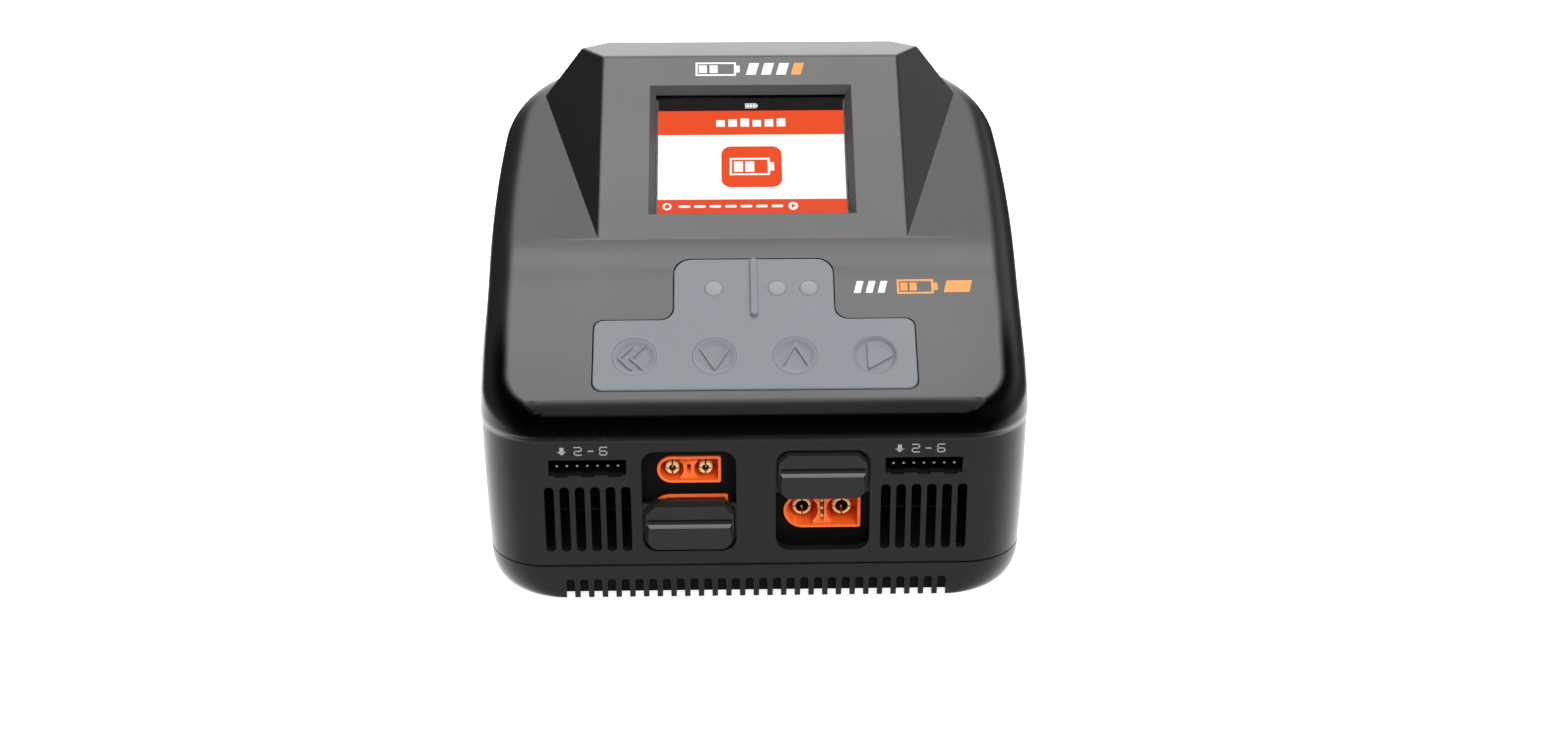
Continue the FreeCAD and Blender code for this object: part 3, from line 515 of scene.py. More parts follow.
class Effects:
    """The shared surface effects, each built once."""

    def __init__(self) -> None:
        """Builds the groups."""
        self.grain = self._grain()
        self.wear = self._patchy_mask("edge_wear", 0.5, (0.42, 0.62), self._raised_edges, Scale=160.0, Detail=4.0)
        self.dust = self._patchy_mask("settled_dust", 0.05, (0.35, 0.8), self._upward, Scale=70.0, Detail=6.0,
                                      Roughness=0.7)
        self.brush = self._brush()

    @staticmethod
    def _grain() -> Tree:
        """Fine eroded texture of a plastic mould: a height and a slow tone."""
        tree, graph, source, sink = effect_group("moulded_grain", "Scale", 1500.0, "Height", "Tone")
        fine = graph.add("ShaderNodeTexNoise", Detail=3.0, Roughness=0.6)
        cells = graph.add("ShaderNodeTexVoronoi", feature="SMOOTH_F1")
        slow = graph.add("ShaderNodeTexNoise", Scale=28.0, Detail=2.0)
        for node in (fine, cells, slow):
            graph.link(source.outputs["Vector"], node.inputs["Vector"])
        graph.link(source.outputs["Scale"], fine.inputs["Scale"])
        graph.link(graph.math("MULTIPLY", source.outputs["Scale"], 0.7), cells.inputs["Scale"])
        height = graph.math("ADD", fine.outputs["Fac"], graph.math("MULTIPLY", cells.outputs["Distance"], 0.6))
        graph.link(height, sink.inputs["Height"])
        graph.link(slow.outputs["Fac"], sink.inputs["Tone"])
        return tree

    @staticmethod
    def _patchy_mask(name: str, amount: float, breaks: Point2, area: Callable[[Graph, Node], Socket],
                     **noise: float) -> Tree:
        """A mask over one kind of area, broken up by noise.

        Args:
            name: Name of the group.
            amount: Default strength of the mask.
            breaks: Noise levels where the mask starts and where it is full.
            area: Draws the unbroken mask from the surface's geometry node.
            **noise: Settings of the noise.

        Returns:
            The group.
        """
        tree, graph, source, sink = effect_group(name, "Amount", amount, "Mask")
        cloud = graph.add("ShaderNodeTexNoise", **noise)
        graph.link(source.outputs["Vector"], cloud.inputs["Vector"])
        broken = graph.ramp(cloud.outputs["Fac"], *breaks, 0.0, 1.0)
        whole = area(graph, graph.add("ShaderNodeNewGeometry"))
        mask = graph.math("MULTIPLY", graph.math("MULTIPLY", whole, broken), source.outputs["Amount"])
        graph.link(mask, sink.inputs["Mask"])
        return tree

    @staticmethod
    def _raised_edges(graph: Graph, geometry: Node) -> Socket:
        """Where the surface is sharply convex."""
        return graph.ramp(geometry.outputs["Pointiness"], 0.53, 0.62, 0.0, 1.0)

    @staticmethod
    def _upward(graph: Graph, geometry: Node) -> Socket:
        """Where the surface looks up."""
        split = graph.add("ShaderNodeSeparateXYZ")
        graph.link(geometry.outputs["Normal"], split.inputs[0])
        return graph.ramp(split.outputs["Z"], 0.3, 1.0, 0.0, 1.0)

    @staticmethod
    def _brush() -> Tree:
        """Fine drawn lines along Y, as on extruded or plated metal."""
        tree, graph, source, sink = effect_group("drawn_lines", "Scale", 900.0, "Height")
        stretch = graph.add("ShaderNodeMapping")
        stretch.inputs["Scale"].default_value = (1.0, 0.04, 1.0)
        lines = graph.add("ShaderNodeTexNoise", Detail=2.0)
        graph.link(source.outputs["Vector"], stretch.inputs["Vector"])
        graph.link(stretch.outputs["Vector"], lines.inputs["Vector"])
        graph.link(source.outputs["Scale"], lines.inputs["Scale"])
        graph.link(lines.outputs["Fac"], sink.inputs["Height"])
        return tree

    def place(self, graph: Graph, tree: Tree, vector: Socket, **values: float) -> Node:
        """Puts one effect into a material and feeds it the object's coordinates."""
        node = graph.add("ShaderNodeGroup")
        node.node_tree = tree
        for name, value in values.items():
            node.inputs[name].default_value = value
        graph.link(vector, node.inputs["Vector"])
        return node


EFFECTS = Effects()


def blank_material(name: str, **inputs: object) -> tuple[bpy.types.Material, Graph, Node]:
    """Starts a material; each value sets the input of the Principled BSDF with its name.

    Args:
        name: Name of the material.
        **inputs: Values by input name, with underscores for spaces.

    Returns:
        The material, its graph and its Principled BSDF.
    """
    material = bpy.data.materials.new(name)
    material.use_nodes = True
    shader = material.node_tree.nodes["Principled BSDF"]
    for label, value in inputs.items():
        shader.inputs[label.replace("_", " ")].default_value = value
    return material, Graph(material.node_tree), shader


@dataclass(frozen=True)
class Finish:
    """A surface finish that makes one material.

    Attributes:
        name: Material name.
        slot: The record's material slot that it stands for; not used.
        base: Main colour, linear.
        tint: Colour of the slow patches.
        roughness: Lowest and highest roughness.
        metallic: Metal share.
        grain: Scale of the mould texture; 0 leaves it out.
        depth: Bump depth in millimetres.
        wear: Amount of edge wear.
        worn: Colour of worn edges.
        dust: Amount of dust.
        coat: Clear coat weight.
        specular: Strength of the plain reflection.
        sheen: Soft sheen weight, for silicone.
        drawn: Whether fine drawn lines replace the mould texture.
        subsurface: Share of light that scatters inside.
    """

    name: str
    slot: str
    base: Colour
    tint: Colour | None = None
    roughness: Point2 = (0.4, 0.5)
    metallic: float = 0.0
    grain: float = 1500.0
    depth: float = 0.01
    wear: float = 0.3
    worn: Colour = (0.16, 0.16, 0.165)
    dust: float = 0.03
    coat: float = 0.0
    specular: float = 0.5
    sheen: float = 0.0
    drawn: bool = False
    subsurface: float = 0.0

    def material(self) -> bpy.types.Material:
        """Builds the material, or returns it if it was built before."""
        found = bpy.data.materials.get(self.name)
        if found:
            return found
        material, graph, shader = blank_material(
            self.name, Metallic=self.metallic, Coat_Weight=self.coat, Coat_Roughness=0.12,
            Specular_IOR_Level=self.specular, Sheen_Weight=self.sheen, Sheen_Roughness=0.4,
            Subsurface_Weight=self.subsurface, Subsurface_Scale=0.0008)
        place = graph.add("ShaderNodeTexCoord").outputs["Object"]
        texture = EFFECTS.place(graph, EFFECTS.grain, place, Scale=self.grain)
        worn = EFFECTS.place(graph, EFFECTS.wear, place, Amount=self.wear)
        dusty = EFFECTS.place(graph, EFFECTS.dust, place, Amount=self.dust)
        height = texture.outputs["Height"]
        if self.drawn:
            height = EFFECTS.place(graph, EFFECTS.brush, place, Scale=self.grain).outputs["Height"]
        tint = self.tint or tuple(channel * 1.25 for channel in self.base)
        colour = self.pattern(graph, place, graph.blend(texture.outputs["Tone"], self.base, tint))
        colour = graph.blend(worn.outputs["Mask"], colour, self.worn)
        colour = graph.blend(dusty.outputs["Mask"], colour, (0.45, 0.44, 0.42))
        graph.link(colour, shader.inputs["Base Color"])
        rough = graph.ramp(texture.outputs["Tone"], 0.3, 0.7, *self.roughness)
        rough = graph.math("ADD", rough, graph.math("MULTIPLY", dusty.outputs["Mask"], 0.5))
        graph.link(rough, shader.inputs["Roughness"])
        bump = graph.add("ShaderNodeBump", Distance=self.depth * MM, Strength=0.8)
        graph.link(height, bump.inputs["Height"])
        graph.link(bump.outputs["Normal"], shader.inputs["Normal"])
        self.extra(graph, shader)
        return material

    def extra(self, graph: Graph, shader: Node) -> None:
        """Lets a finish link more of the shader's inputs; the plain one links none."""

    def pattern(self, graph: Graph, place: Socket, colour: Socket) -> Socket:
        """Lets a finish draw its own pattern over the colour; the plain one draws none."""
        return colour


@dataclass(frozen=True)
class HoodFinish(Finish):
    """Case plastic whose rounded nose is polished darker, by a mask kept on the mesh.

    Attributes:
        nose: Colour of the painted shade where the mask is full.
    """

    nose: Colour = (0.004, 0.004, 0.0045)

    def pattern(self, graph: Graph, place: Socket, colour: Socket) -> Socket:
        """Mixes in the painted shade of the nose by the mesh's own mask."""
        mask = graph.add("ShaderNodeAttribute", attribute_name="nose")
        return graph.blend(mask.outputs["Fac"], colour, self.nose)

    def extra(self, graph: Graph, shader: Node) -> None:
        """Takes the nose's reflection down by the same mask, as painted shade."""
        mask = graph.add("ShaderNodeAttribute", attribute_name="nose")
        graph.link(graph.math("MULTIPLY", mask.outputs["Fac"], 0.93), shader.inputs["Metallic"])


@dataclass(frozen=True)
class BoardFinish(Finish):
    """Printed circuit board: solder mask with copper tracks and pads."""

    def pattern(self, graph: Graph, place: Socket, colour: Socket) -> Socket:
        """Draws tracks from a brick pattern and pads from small cells."""
        tracks = graph.add("ShaderNodeTexBrick", Scale=90.0, Mortar_Size=0.06)
        tracks.inputs["Color1"].default_value = (0, 0, 0, 1)
        tracks.inputs["Color2"].default_value = (0, 0, 0, 1)
        tracks.inputs["Mortar"].default_value = (1, 1, 1, 1)
        pads = graph.add("ShaderNodeTexVoronoi", Scale=420.0)
        graph.link(place, tracks.inputs["Vector"])
        graph.link(place, pads.inputs["Vector"])
        track = graph.math("MULTIPLY", tracks.outputs["Color"], 0.6)
        pad = graph.ramp(pads.outputs["Distance"], 0.12, 0.16, 1.0, 0.0)
        colour = graph.blend(track, colour, tuple(min(channel * 2.6, 1.0) for channel in self.base))
        return graph.blend(pad, colour, tuple(min(channel * 3 + 0.02, 1.0) for channel in self.base))


@dataclass(frozen=True)
class WoundFinish(Finish):
    """Enamelled wire laid turn beside turn."""

    def pattern(self, graph: Graph, place: Socket, colour: Socket) -> Socket:
        """Draws the turns as bands up the winding."""
        bands = graph.add("ShaderNodeTexWave", Scale=260.0, Distortion=0.3)
        bands.bands_direction = "Z"
        graph.link(place, bands.inputs["Vector"])
        shade = graph.ramp(bands.outputs["Fac"], 0.0, 0.5, 1.0, 0.0)
        return graph.blend(shade, colour, tuple(channel * 0.3 for channel in self.base))


@dataclass(frozen=True)
class GlowFinish:
    """A lit area of the display, with its rows of dots faintly visible.

    Attributes:
        name: Material name.
        colour: Emitted colour, linear.
        strength: Emission strength.
    """

    name: str
    colour: Colour
    strength: float = 1.0

    def material(self) -> bpy.types.Material:
        """Builds the material."""
        found = bpy.data.materials.get(self.name)
        if found:
            return found
        material, graph, shader = blank_material(
            self.name, Base_Color=(0.003, 0.003, 0.003, 1), Roughness=0.35, Specular_IOR_Level=0.0,
            Emission_Strength=self.strength)
        place = graph.add("ShaderNodeTexCoord").outputs["Object"]
        lines = graph.add("ShaderNodeTexWave", Scale=1000.0, Detail=0.0)
        lines.bands_direction = "X"
        graph.link(place, lines.inputs["Vector"])
        share = graph.ramp(lines.outputs["Fac"], 0.0, 1.0, 0.0, 0.08)
        dim = tuple(channel * 0.6 for channel in self.colour)
        graph.link(graph.blend(share, self.colour, dim), shader.inputs["Emission Color"])
        return material


@dataclass(frozen=True)
class ClearFinish:
    """Clear acrylic over the display, with faint wiping marks in its gloss."""

    name: str = "clear_window"

    def material(self) -> bpy.types.Material:
        """Builds the material."""
        material, graph, shader = blank_material(
            self.name, Base_Color=(1, 1, 1, 1), Transmission_Weight=1.0, IOR=1.0, Specular_IOR_Level=0.0)
        place = graph.add("ShaderNodeTexCoord").outputs["Object"]
        smear = EFFECTS.place(graph, EFFECTS.grain, place, Scale=300.0)
        graph.link(graph.ramp(smear.outputs["Tone"], 0.3, 0.7, 0.02, 0.06), shader.inputs["Roughness"])
        return material


CLEAN = {"wear": 0.0, "dust": 0.0}
FINE_MOULD = {"grain": 2600.0, "depth": 0.004, **CLEAN}
# The case plastic carries painted shade on its nose: near black, with its reflection taken down by a mask on the
# mesh.
CASE_PLASTIC = HoodFinish("case_satin", "case_plastic", (0.011, 0.011, 0.012), tint=(0.012, 0.012, 0.013),
                          roughness=(0.27, 0.30), **FINE_MOULD)
TRAY_PLASTIC = Finish("tray_satin", "tray_plastic", (0.011, 0.011, 0.012), tint=(0.012, 0.012, 0.013),
                      roughness=(0.30, 0.34), **FINE_MOULD)
SILICONE = Finish("silicone_mat", "keypad_silicone", (0.163, 0.178, 0.194), tint=(0.170, 0.186, 0.202),
                  roughness=(0.55, 0.62), grain=3200.0, depth=0.003, wear=0.1, worn=(0.2, 0.22, 0.24),
                  dust=0.02, sheen=0.08, subsurface=0.05)
SILICONE_DOT = Finish("silicone_dot", "keypad_silicone", (0.200, 0.212, 0.226), roughness=(0.5, 0.6),
                      grain=3200.0, depth=0.003, wear=0.0, dust=0.02, sheen=0.08, subsurface=0.1)
SHUTTER_PLASTIC = Finish("shutter_satin", "shutter_plastic", (0.017, 0.017, 0.018), tint=(0.019, 0.019, 0.02),
                         roughness=(0.30, 0.36), grain=2600.0, depth=0.005, wear=0.05, dust=0.0)
BAY_PLASTIC = Finish("bay_matt", "bay_plastic", (0.003, 0.003, 0.003), roughness=(0.5, 0.6), specular=0.15, **CLEAN)
ORANGE_NYLON = Finish("connector_nylon", "connector_orange", (0.86, 0.12, 0.012), tint=(0.90, 0.15, 0.02),
                      roughness=(0.30, 0.38), grain=1200.0, depth=0.006, wear=0.35, worn=(1.0, 0.36, 0.12),
                      dust=0.0)
GOLD = Finish("gold_plate", "gold_contact", (1.0, 0.74, 0.32), tint=(1.0, 0.80, 0.42), roughness=(0.22, 0.30),
              metallic=0.45, grain=900.0, depth=0.003, wear=0.2, worn=(0.98, 0.85, 0.55), dust=0.0, drawn=True)
TIN = Finish("tinned_pin", "gold_contact", (0.88, 0.82, 0.70), tint=(0.92, 0.88, 0.78), roughness=(0.2, 0.3),
             metallic=1.0, grain=900.0, depth=0.002, wear=0.0, dust=0.0, drawn=True)
BORE_SHADE = Finish("bore_shade", "gold_contact", (0.035, 0.022, 0.008), roughness=(0.4, 0.5), metallic=0.3,
                    specular=0.2, **CLEAN)
SOCKET_BLACK = Finish("socket_nylon", "socket_black", (0.003, 0.003, 0.003), roughness=(0.5, 0.6), specular=0.2,
                      **CLEAN)
HEATSINK = Finish("extruded_aluminium", "heatsink_metal", (0.70, 0.71, 0.73), roughness=(0.3, 0.42),
                  metallic=1.0, grain=700.0, depth=0.01, drawn=True, wear=0.3, worn=(0.9, 0.9, 0.9))
SCREW_STEEL = Finish("blackened_steel", "screw_steel", (0.05, 0.05, 0.055), roughness=(0.3, 0.45),
                     metallic=0.8, grain=900.0, depth=0.01, wear=0.8, worn=(0.5, 0.5, 0.5), drawn=True)
BOARD = BoardFinish("solder_mask", "board_green", (0.006, 0.05, 0.022), roughness=(0.25, 0.4), dust=0.06, coat=0.3)
DARK_BOARD = BoardFinish("dark_solder_mask", "board_black", (0.004, 0.005, 0.005), tint=(0.005, 0.006, 0.006),
                         roughness=(0.4, 0.5), **CLEAN)
FERRITE = Finish("sintered_ferrite", "ferrite", (0.035, 0.035, 0.038), roughness=(0.5, 0.7), depth=0.03, wear=0.5)
COPPER = WoundFinish("enamelled_wire", "winding_copper", (0.60, 0.22, 0.07), roughness=(0.25, 0.4),
                     metallic=0.7, wear=0.2, worn=(0.9, 0.6, 0.35))
SLEEVE = Finish("shrink_sleeve", "capacitor_sleeve", (0.012, 0.016, 0.04), roughness=(0.22, 0.32), coat=0.2)
SWITCH_METAL = Finish("switch_tin", "switch_metal", (0.62, 0.62, 0.62), roughness=(0.3, 0.45), metallic=0.9,
                      drawn=True)
CABLE_FILM = Finish("flat_cable", "cable_film", (0.62, 0.6, 0.52), roughness=(0.35, 0.45))
WIRE_SLEEVE = Finish("wire_insulation", "wire_sleeve", (0.03, 0.03, 0.03), roughness=(0.4, 0.5))
BUZZER_PLASTIC = Finish("buzzer_shell", "buzzer_plastic", (0.015, 0.015, 0.015), roughness=(0.4, 0.5))
FAN_PLASTIC = Finish("fan_shell", "fan_plastic", (0.014, 0.014, 0.015), roughness=(0.38, 0.5), dust=0.12)
INLET_PLASTIC = Finish("inlet_shell", "inlet_plastic", (0.012, 0.012, 0.012), roughness=(0.28, 0.36), wear=0.4)
PIN_METAL = Finish("plated_pin", "pin_metal", (0.50, 0.49, 0.47), roughness=(0.18, 0.3), metallic=1.0, drawn=True)
FOOT_RUBBER = Finish("rubber_pad", "foot_rubber", (0.02, 0.02, 0.02), roughness=(0.7, 0.85), depth=0.02)
WHITE_PRINT = Finish("white_print", "case_plastic", (0.62, 0.62, 0.63), roughness=(0.45, 0.55), **CLEAN)
ORANGE_PRINT = Finish("orange_print", "case_plastic", (0.70, 0.23, 0.05), roughness=(0.45, 0.55), **CLEAN)
GREY_PRINT = Finish("grey_print", "case_plastic", (0.27, 0.27, 0.275), roughness=(0.45, 0.55), **CLEAN)
BEZEL_PLASTIC = Finish("bezel_matt", "case_plastic", (0.060, 0.061, 0.064), tint=(0.066, 0.067, 0.070),
                       roughness=(0.5, 0.58), specular=0.3, **FINE_MOULD)
# Painted highlight: a lighter grey on the shutter's sloping ledge face stands in for the light it catches from above.
LEDGE_PAINTED_HIGHLIGHT = Finish("ledge_polish", "shutter_plastic", (0.15, 0.15, 0.155), tint=(0.16, 0.16, 0.165),
                       roughness=(0.3, 0.4), **FINE_MOULD)
PANEL_EDGE = Finish("panel_frame", "display_glass", (0.006, 0.006, 0.007), roughness=(0.25, 0.35), wear=0.0)


def dress(piece: Piece, finish: Finish, body: str, nodes: Iterable[str] = ()) -> Piece:
    """Gives a piece its material and its body, and hides the frame nodes that it stands for.

    Args:
        piece: The finished piece.
        finish: Its finish.
        body: Name of the body that it rides on.
        nodes: Frame nodes that it replaces.

    Returns:
        The piece.
    """
    piece.data.materials.clear()
    piece.data.materials.append(finish.material())
    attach(piece, body)
    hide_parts(*nodes)
    log.info("%-28s rides %-18s %6d faces", piece.name, body, len(piece.data.polygons))
    return piece


def accent(piece: Piece, finish: Finish, chosen: Callable[[Vector, Vector], bool]) -> None:
    """Gives some faces of a dressed piece a second finish.

    Args:
        piece: The dressed piece.
        finish: The second finish.
        chosen: Says from a face's middle, in millimetres, and its normal whether the face is taken.
    """
    piece.data.materials.append(finish.material())
    last = len(piece.data.materials) - 1
    for face in piece.data.polygons:
        if chosen(face.center / MM, face.normal):
            face.material_index = last


# ---- the case
@dataclass(frozen=True)
class Slope:
    """A sloping drawing plane: X across, Y up the slope, Z outwards.

    Attributes:
        degrees: Angle of the slope above the horizontal.
        y: Where the slope starts, from front to rear.
        z: Height of the start.
    """

    degrees: float
    y: float
    z: float

    @property
    def place(self) -> Matrix:
        """Transform from the drawing to the charger, in millimetres."""
        return Matrix.Translation((0, self.y, self.z)) @ Matrix.Rotation(math.radians(self.degrees), 4, "X")


DECK = Slope(30.5, -57.0, 54.7)
CONSOLE = Slope(31.75, -10.6, 81.5)
FRONT_Y = -58.0
REAR_Y = 59.0
PORT_X = 16.5
SOCKET_X = 41.3
FAN_CENTRE = (16.0, 44.0)
FAN_SCREW_REACH = 20.0


def facing_front(y: float) -> Matrix:
    """Drawing plane that looks at the front: X across, Y up, Z towards the viewer at depth y."""
    return Matrix.Translation((0, y, 0)) @ Matrix.Rotation(math.radians(90), 4, "X")


def facing_side() -> Matrix:
    """Drawing plane seen from the right: X towards the rear, Y up, Z outwards."""
    return Matrix.Rotation(math.radians(90), 4, "Z") @ Matrix.Rotation(math.radians(90), 4, "X")


@dataclass(frozen=True)
class Barrel:
    """Plan outline with bowed sides; the same column always lies at the same place on it.

    Attributes:
        half_w: Half the width at the widest place.
        front_y: Front line.
        rear_y: Rear line.
        front_r: Front corner radius.
        rear_r: Rear corner radius.
        bow: How much narrower the sides are at their ends.
    """

    half_w: float
    front_y: float
    rear_y: float
    front_r: float
    rear_r: float
    bow: float = 4.5
    COUNTS = (9, 16, 44, 18, 8)

    def columns(self) -> list[tuple[float, float, float, float]]:
        """Point and outward normal of each column of the right half, front middle to rear middle."""
        mid = (self.front_y + self.rear_y) / 2
        reach = (self.rear_y - self.front_y) / 2
        side_r = (reach ** 2 + self.bow ** 2) / (2 * self.bow)
        side_x = self.half_w - side_r
        front = self._corner(side_x, side_r, mid, self.front_y + self.front_r, self.front_r)
        rear = self._corner(side_x, side_r, mid, self.rear_y - self.rear_r, self.rear_r)
        first = math.atan2(front[1] - mid, front[0] - side_x)
        last = math.atan2(rear[1] - mid, rear[0] - side_x)
        line, corner, side, back_corner, back_line = self.COUNTS
        points = [(front[0] * i / line, self.front_y, 0.0, -1.0) for i in range(line)]
        points += self._arc(front, self.front_r, -math.pi / 2, first, corner)
        points += self._arc((side_x, mid), side_r, first, last, side)
        points += self._arc(rear, self.rear_r, last, math.pi / 2, back_corner)
        points += [(rear[0] * (1 - i / back_line), self.rear_y, 0.0, 1.0) for i in range(back_line + 1)]
        return points

    @staticmethod
    def _corner(side_x: float, side_r: float, mid: float, y: float, radius: float) -> Point2:
        """Centre of the arc that joins a straight end to the bowed side."""
        return side_x + math.sqrt((side_r - radius) ** 2 - (y - mid) ** 2), y

    @staticmethod
    def _arc(centre: Point2, radius: float, start: float, end: float,
             steps: int) -> list[tuple[float, float, float, float]]:
        """Columns along an arc, without its last point."""
        angles = [start + (end - start) * i / steps for i in range(steps)]
        return [(centre[0] + radius * math.cos(a), centre[1] + radius * math.sin(a), math.cos(a), math.sin(a))
                for a in angles]


def mirrored_skin(name: str, rows: list[list[Point3]]) -> Piece:
    """Joins rows of the right half and their mirror image into a closed solid."""
    count = len(rows[0])
    ring = 2 * (count - 1)
    vertices: list[Point3] = []
    for row in rows:
        vertices += list(row) + [(-x, y, z) for x, y, z in row[-2:0:-1]]
    faces = strip_faces(len(rows), ring) + [list(range(ring))[::-1]]
    top = (len(rows) - 1) * ring
    front_last = Barrel.COUNTS[0]
    rear_first = sum(Barrel.COUNTS[:4])
    right = list(range(count))
    left = [0] + [ring - i for i in range(1, count - 1)] + [count - 1]
    faces.append([top + left[i] for i in range(front_last, 0, -1)]
                 + [top + right[i] for i in range(0, front_last + 1)])
    for column in range(front_last, rear_first):
        faces.append([top + left[column], top + right[column], top + right[column + 1], top + left[column + 1]])
    faces.append([top + right[i] for i in range(rear_first, count)]
                 + [top + left[i] for i in range(count - 2, rear_first - 1, -1)])
    return mesh_object(name, vertices, faces)


@dataclass
class CaseShell:
    """The upper case: front face, rounded nose, sloping deck, shoulders and console block."""

    wall: float = 2.2
    seam_z: float = 10.95
    half_w: float = 70.48
    front_y: float = FRONT_Y
    nose_y: float = -60.5
    rear_y: float = REAR_Y
    corner_r: Point2 = (15.0, 26.0)
    corner_growth: Point2 = (2.0, 4.0)
    foot_tuck: float = 0.8
    upper_lean: float = 0.9
    upper_rise: float = 52.0
    under_z: Point2 = (45.2, 48.4)
    crease: Point2 = (-16.0, 78.9)
    shoulder_slope: float = 21.0
    side_lean: float = 2.8
    lean_rise: float = 28.0
    lip_radius: float = 8.6
    side_radius: float = 7.4
    crease_reach: float = 0.9
    console_top: float = 111.6
    console_half_w: float = 39.4
    facet_foot: Point3 = (55.0, 40.0, 100.7)
    roof_rear: Point3 = (38.6, 50.6, 111.6)
    console_ears: float = 7.0
    console_block: tuple[Point2, Point2, Point2] = ((-57.0, 57.0), (-17.0, 58.0), (60.0, 115.0))
    console_edge: float = 0.7
    window_half_w: float = 26.7
    window_k: Point2 = (4.9, 47.15)
    window_bevel: float = 1.6
    wall_rows: int = 9
    under_rows: int = 7
    upper_rows: int = 9
    round_rows: int = 14
    sharp_from: float = 15.0

    def build(self, openings: Piece) -> Piece:
        """Makes the shell and cuts its openings.

        Args:
            openings: The solid that is cut out of it.

        Returns:
            The finished piece.
        """
        outer = merge(self._body("upper_shell", 0.0), Merge.ADD, self._console(0.0))
        inner = merge(self._body("shell_inside", self.wall), Merge.ADD, self._console(self.wall))
        shell = merge(outer, Merge.CUT, inner)
        merge(shell, Merge.CUT, openings, self._window())
        self._drop_slivers(shell)
        smooth(shell, self.sharp_from)
        # Paints shade on the nose through a mask kept on the mesh.
        self._mark_nose(shell)
        dress(shell, CASE_PLASTIC, CASE, ["upper_case"])
        accent(shell, BEZEL_PLASTIC, self._in_bezel)
        return shell

    def top_at(self, y: float) -> float:
        """Height of the sloping top at a depth."""
        deck = DECK.z + (y - DECK.y) * math.tan(math.radians(DECK.degrees))
        shoulder = self.crease[1] + (y - self.crease[0]) * math.tan(math.radians(self.shoulder_slope))
        return smooth_min(deck, shoulder, self.crease_reach)

    def slope_at(self, y: float) -> float:
        """Angle of the sloping top at a depth, in radians."""
        step = 0.05
        return math.atan((self.top_at(y + step) - self.top_at(y - step)) / (2 * step))

    def _level(self, z: float, inset: float) -> Barrel:
        """Plan outline of the case at a height."""
        lift = smooth_step((z - self.under_z[0]) / (self.under_z[1] - self.under_z[0]))
        middle = self.under_z[0]
        if z < middle:
            lean = tuck = self.foot_tuck * ((middle - z) / (middle - self.seam_z)) ** 2
        else:
            tuck = self.side_lean * smooth_step((z - middle) / self.lean_rise)
            lean = tuck + self.upper_lean * ((z - middle) / self.upper_rise) ** 2
        return Barrel(self.half_w - lean - inset, self.front_y + (self.nose_y - self.front_y) * lift + inset,
                      self.rear_y - inset, self.corner_r[0] + self.corner_growth[0] * lift - 0.9 * tuck - inset,
                      self.corner_r[1] + self.corner_growth[1] * max(0.0, (z - middle) / self.upper_rise) - inset)

    def _body(self, name: str, inset: float) -> Piece:
        """The body without its console, as a closed solid shrunk by an inset.

        Args:
            name: Name of the object.
            inset: Distance inside the outer surface.

        Returns:
            The closed solid.
        """
        low = self.seam_z - (8.0 if inset else 0.0)
        heights = [low + (self.under_z[0] - low) * i / self.wall_rows for i in range(self.wall_rows)]
        span = self.under_z[1] - self.under_z[0]
        heights += [self.under_z[0] + span * i / self.under_rows for i in range(self.under_rows + 1)]
        rows = [[(x, y, z) for x, y, _, _ in self._level(z, inset).columns()] for z in heights]
        fillet = self._fillet(len(rows[0]), inset)
        for share in [step / self.upper_rows for step in range(1, self.upper_rows + 1)]:
            levels = [heights[-1] + (centre.z - heights[-1]) * share for centre, _, _ in fillet]
            rows.append([(*self._level(z, inset).columns()[column][:2], z) for column, z in enumerate(levels)])
        for share in [step / self.round_rows for step in range(1, self.round_rows + 1)]:
            rows.append([tuple(centre + outward.slerp(self._top_normal(centre.y), share) * radius)
                         for centre, outward, radius in fillet])
        return mirrored_skin(name, rows)

    def _top_normal(self, y: float) -> Vector:
        """Upward normal of the sloping top at a depth."""
        slope = self.slope_at(y)
        return Vector((0, -math.sin(slope), math.cos(slope)))

    def _fillet(self, count: int, inset: float) -> list[tuple[Vector, Vector, float]]:
        """Centre, outward direction and radius of the rounded top edge at each column."""
        fillet = []
        for column in range(count):
            z = 70.0
            for _ in range(4):
                x, y, nx, ny = self._level(z, inset).columns()[column]
                radius = self.lip_radius + (self.side_radius - self.lip_radius) * abs(nx) - inset
                radius -= 0.8 * max(0.0, ny) ** 2
                cy = y - radius * ny
                z = self.top_at(cy) - (radius + inset) / math.cos(self.slope_at(cy))
                z = max(z, self.under_z[1] + 0.3)
            fillet.append((Vector((x - radius * nx, cy, z)), Vector((nx, ny, 0.0)), radius))
        return fillet

    def _console(self, inset: float) -> Piece:
        """The faceted block that carries the display, cut from a box by its planes."""
        foot = Vector((self.console_half_w, CONSOLE.y, CONSOLE.z))
        slope = math.radians(CONSOLE.degrees)
        top = Vector((foot.x, foot.y + (self.console_top - foot.z) / math.tan(slope), self.console_top))
        facet_foot, roof_rear = Vector(self.facet_foot), Vector(self.roof_rear)
        facet = (facet_foot - foot).cross(top - foot).normalized()
        facet = facet if facet.x > 0 else -facet
        ridge_x = roof_rear.x + self.console_ears
        ridge = Vector((ridge_x, top.y - (ridge_x - top.x) * facet.x / facet.y, self.console_top))
        back = (roof_rear - facet_foot).cross(ridge - facet_foot).normalized()
        back = back if back.x > 0 else -back
        shoulder = math.radians(self.shoulder_slope)
        under = Vector((0, math.sin(shoulder), -math.cos(shoulder)))
        planes = [(foot, Vector((0, -math.sin(slope), math.cos(slope)))), (roof_rear, Vector((0, 0, 1))),
                  (foot, facet), (facet_foot, back), (roof_rear, Vector((0, 1, 0.25)).normalized())]
        planes += [(Vector((-p.x, p.y, p.z)), Vector((-n.x, n.y, n.z))) for p, n in planes[2:4]]
        planes.append((Vector((0, *self.crease)) + under * (8.0 + 2 * inset), under))
        block = prism("console_block", rectangle(*self.console_block[:2]), *self.console_block[2])

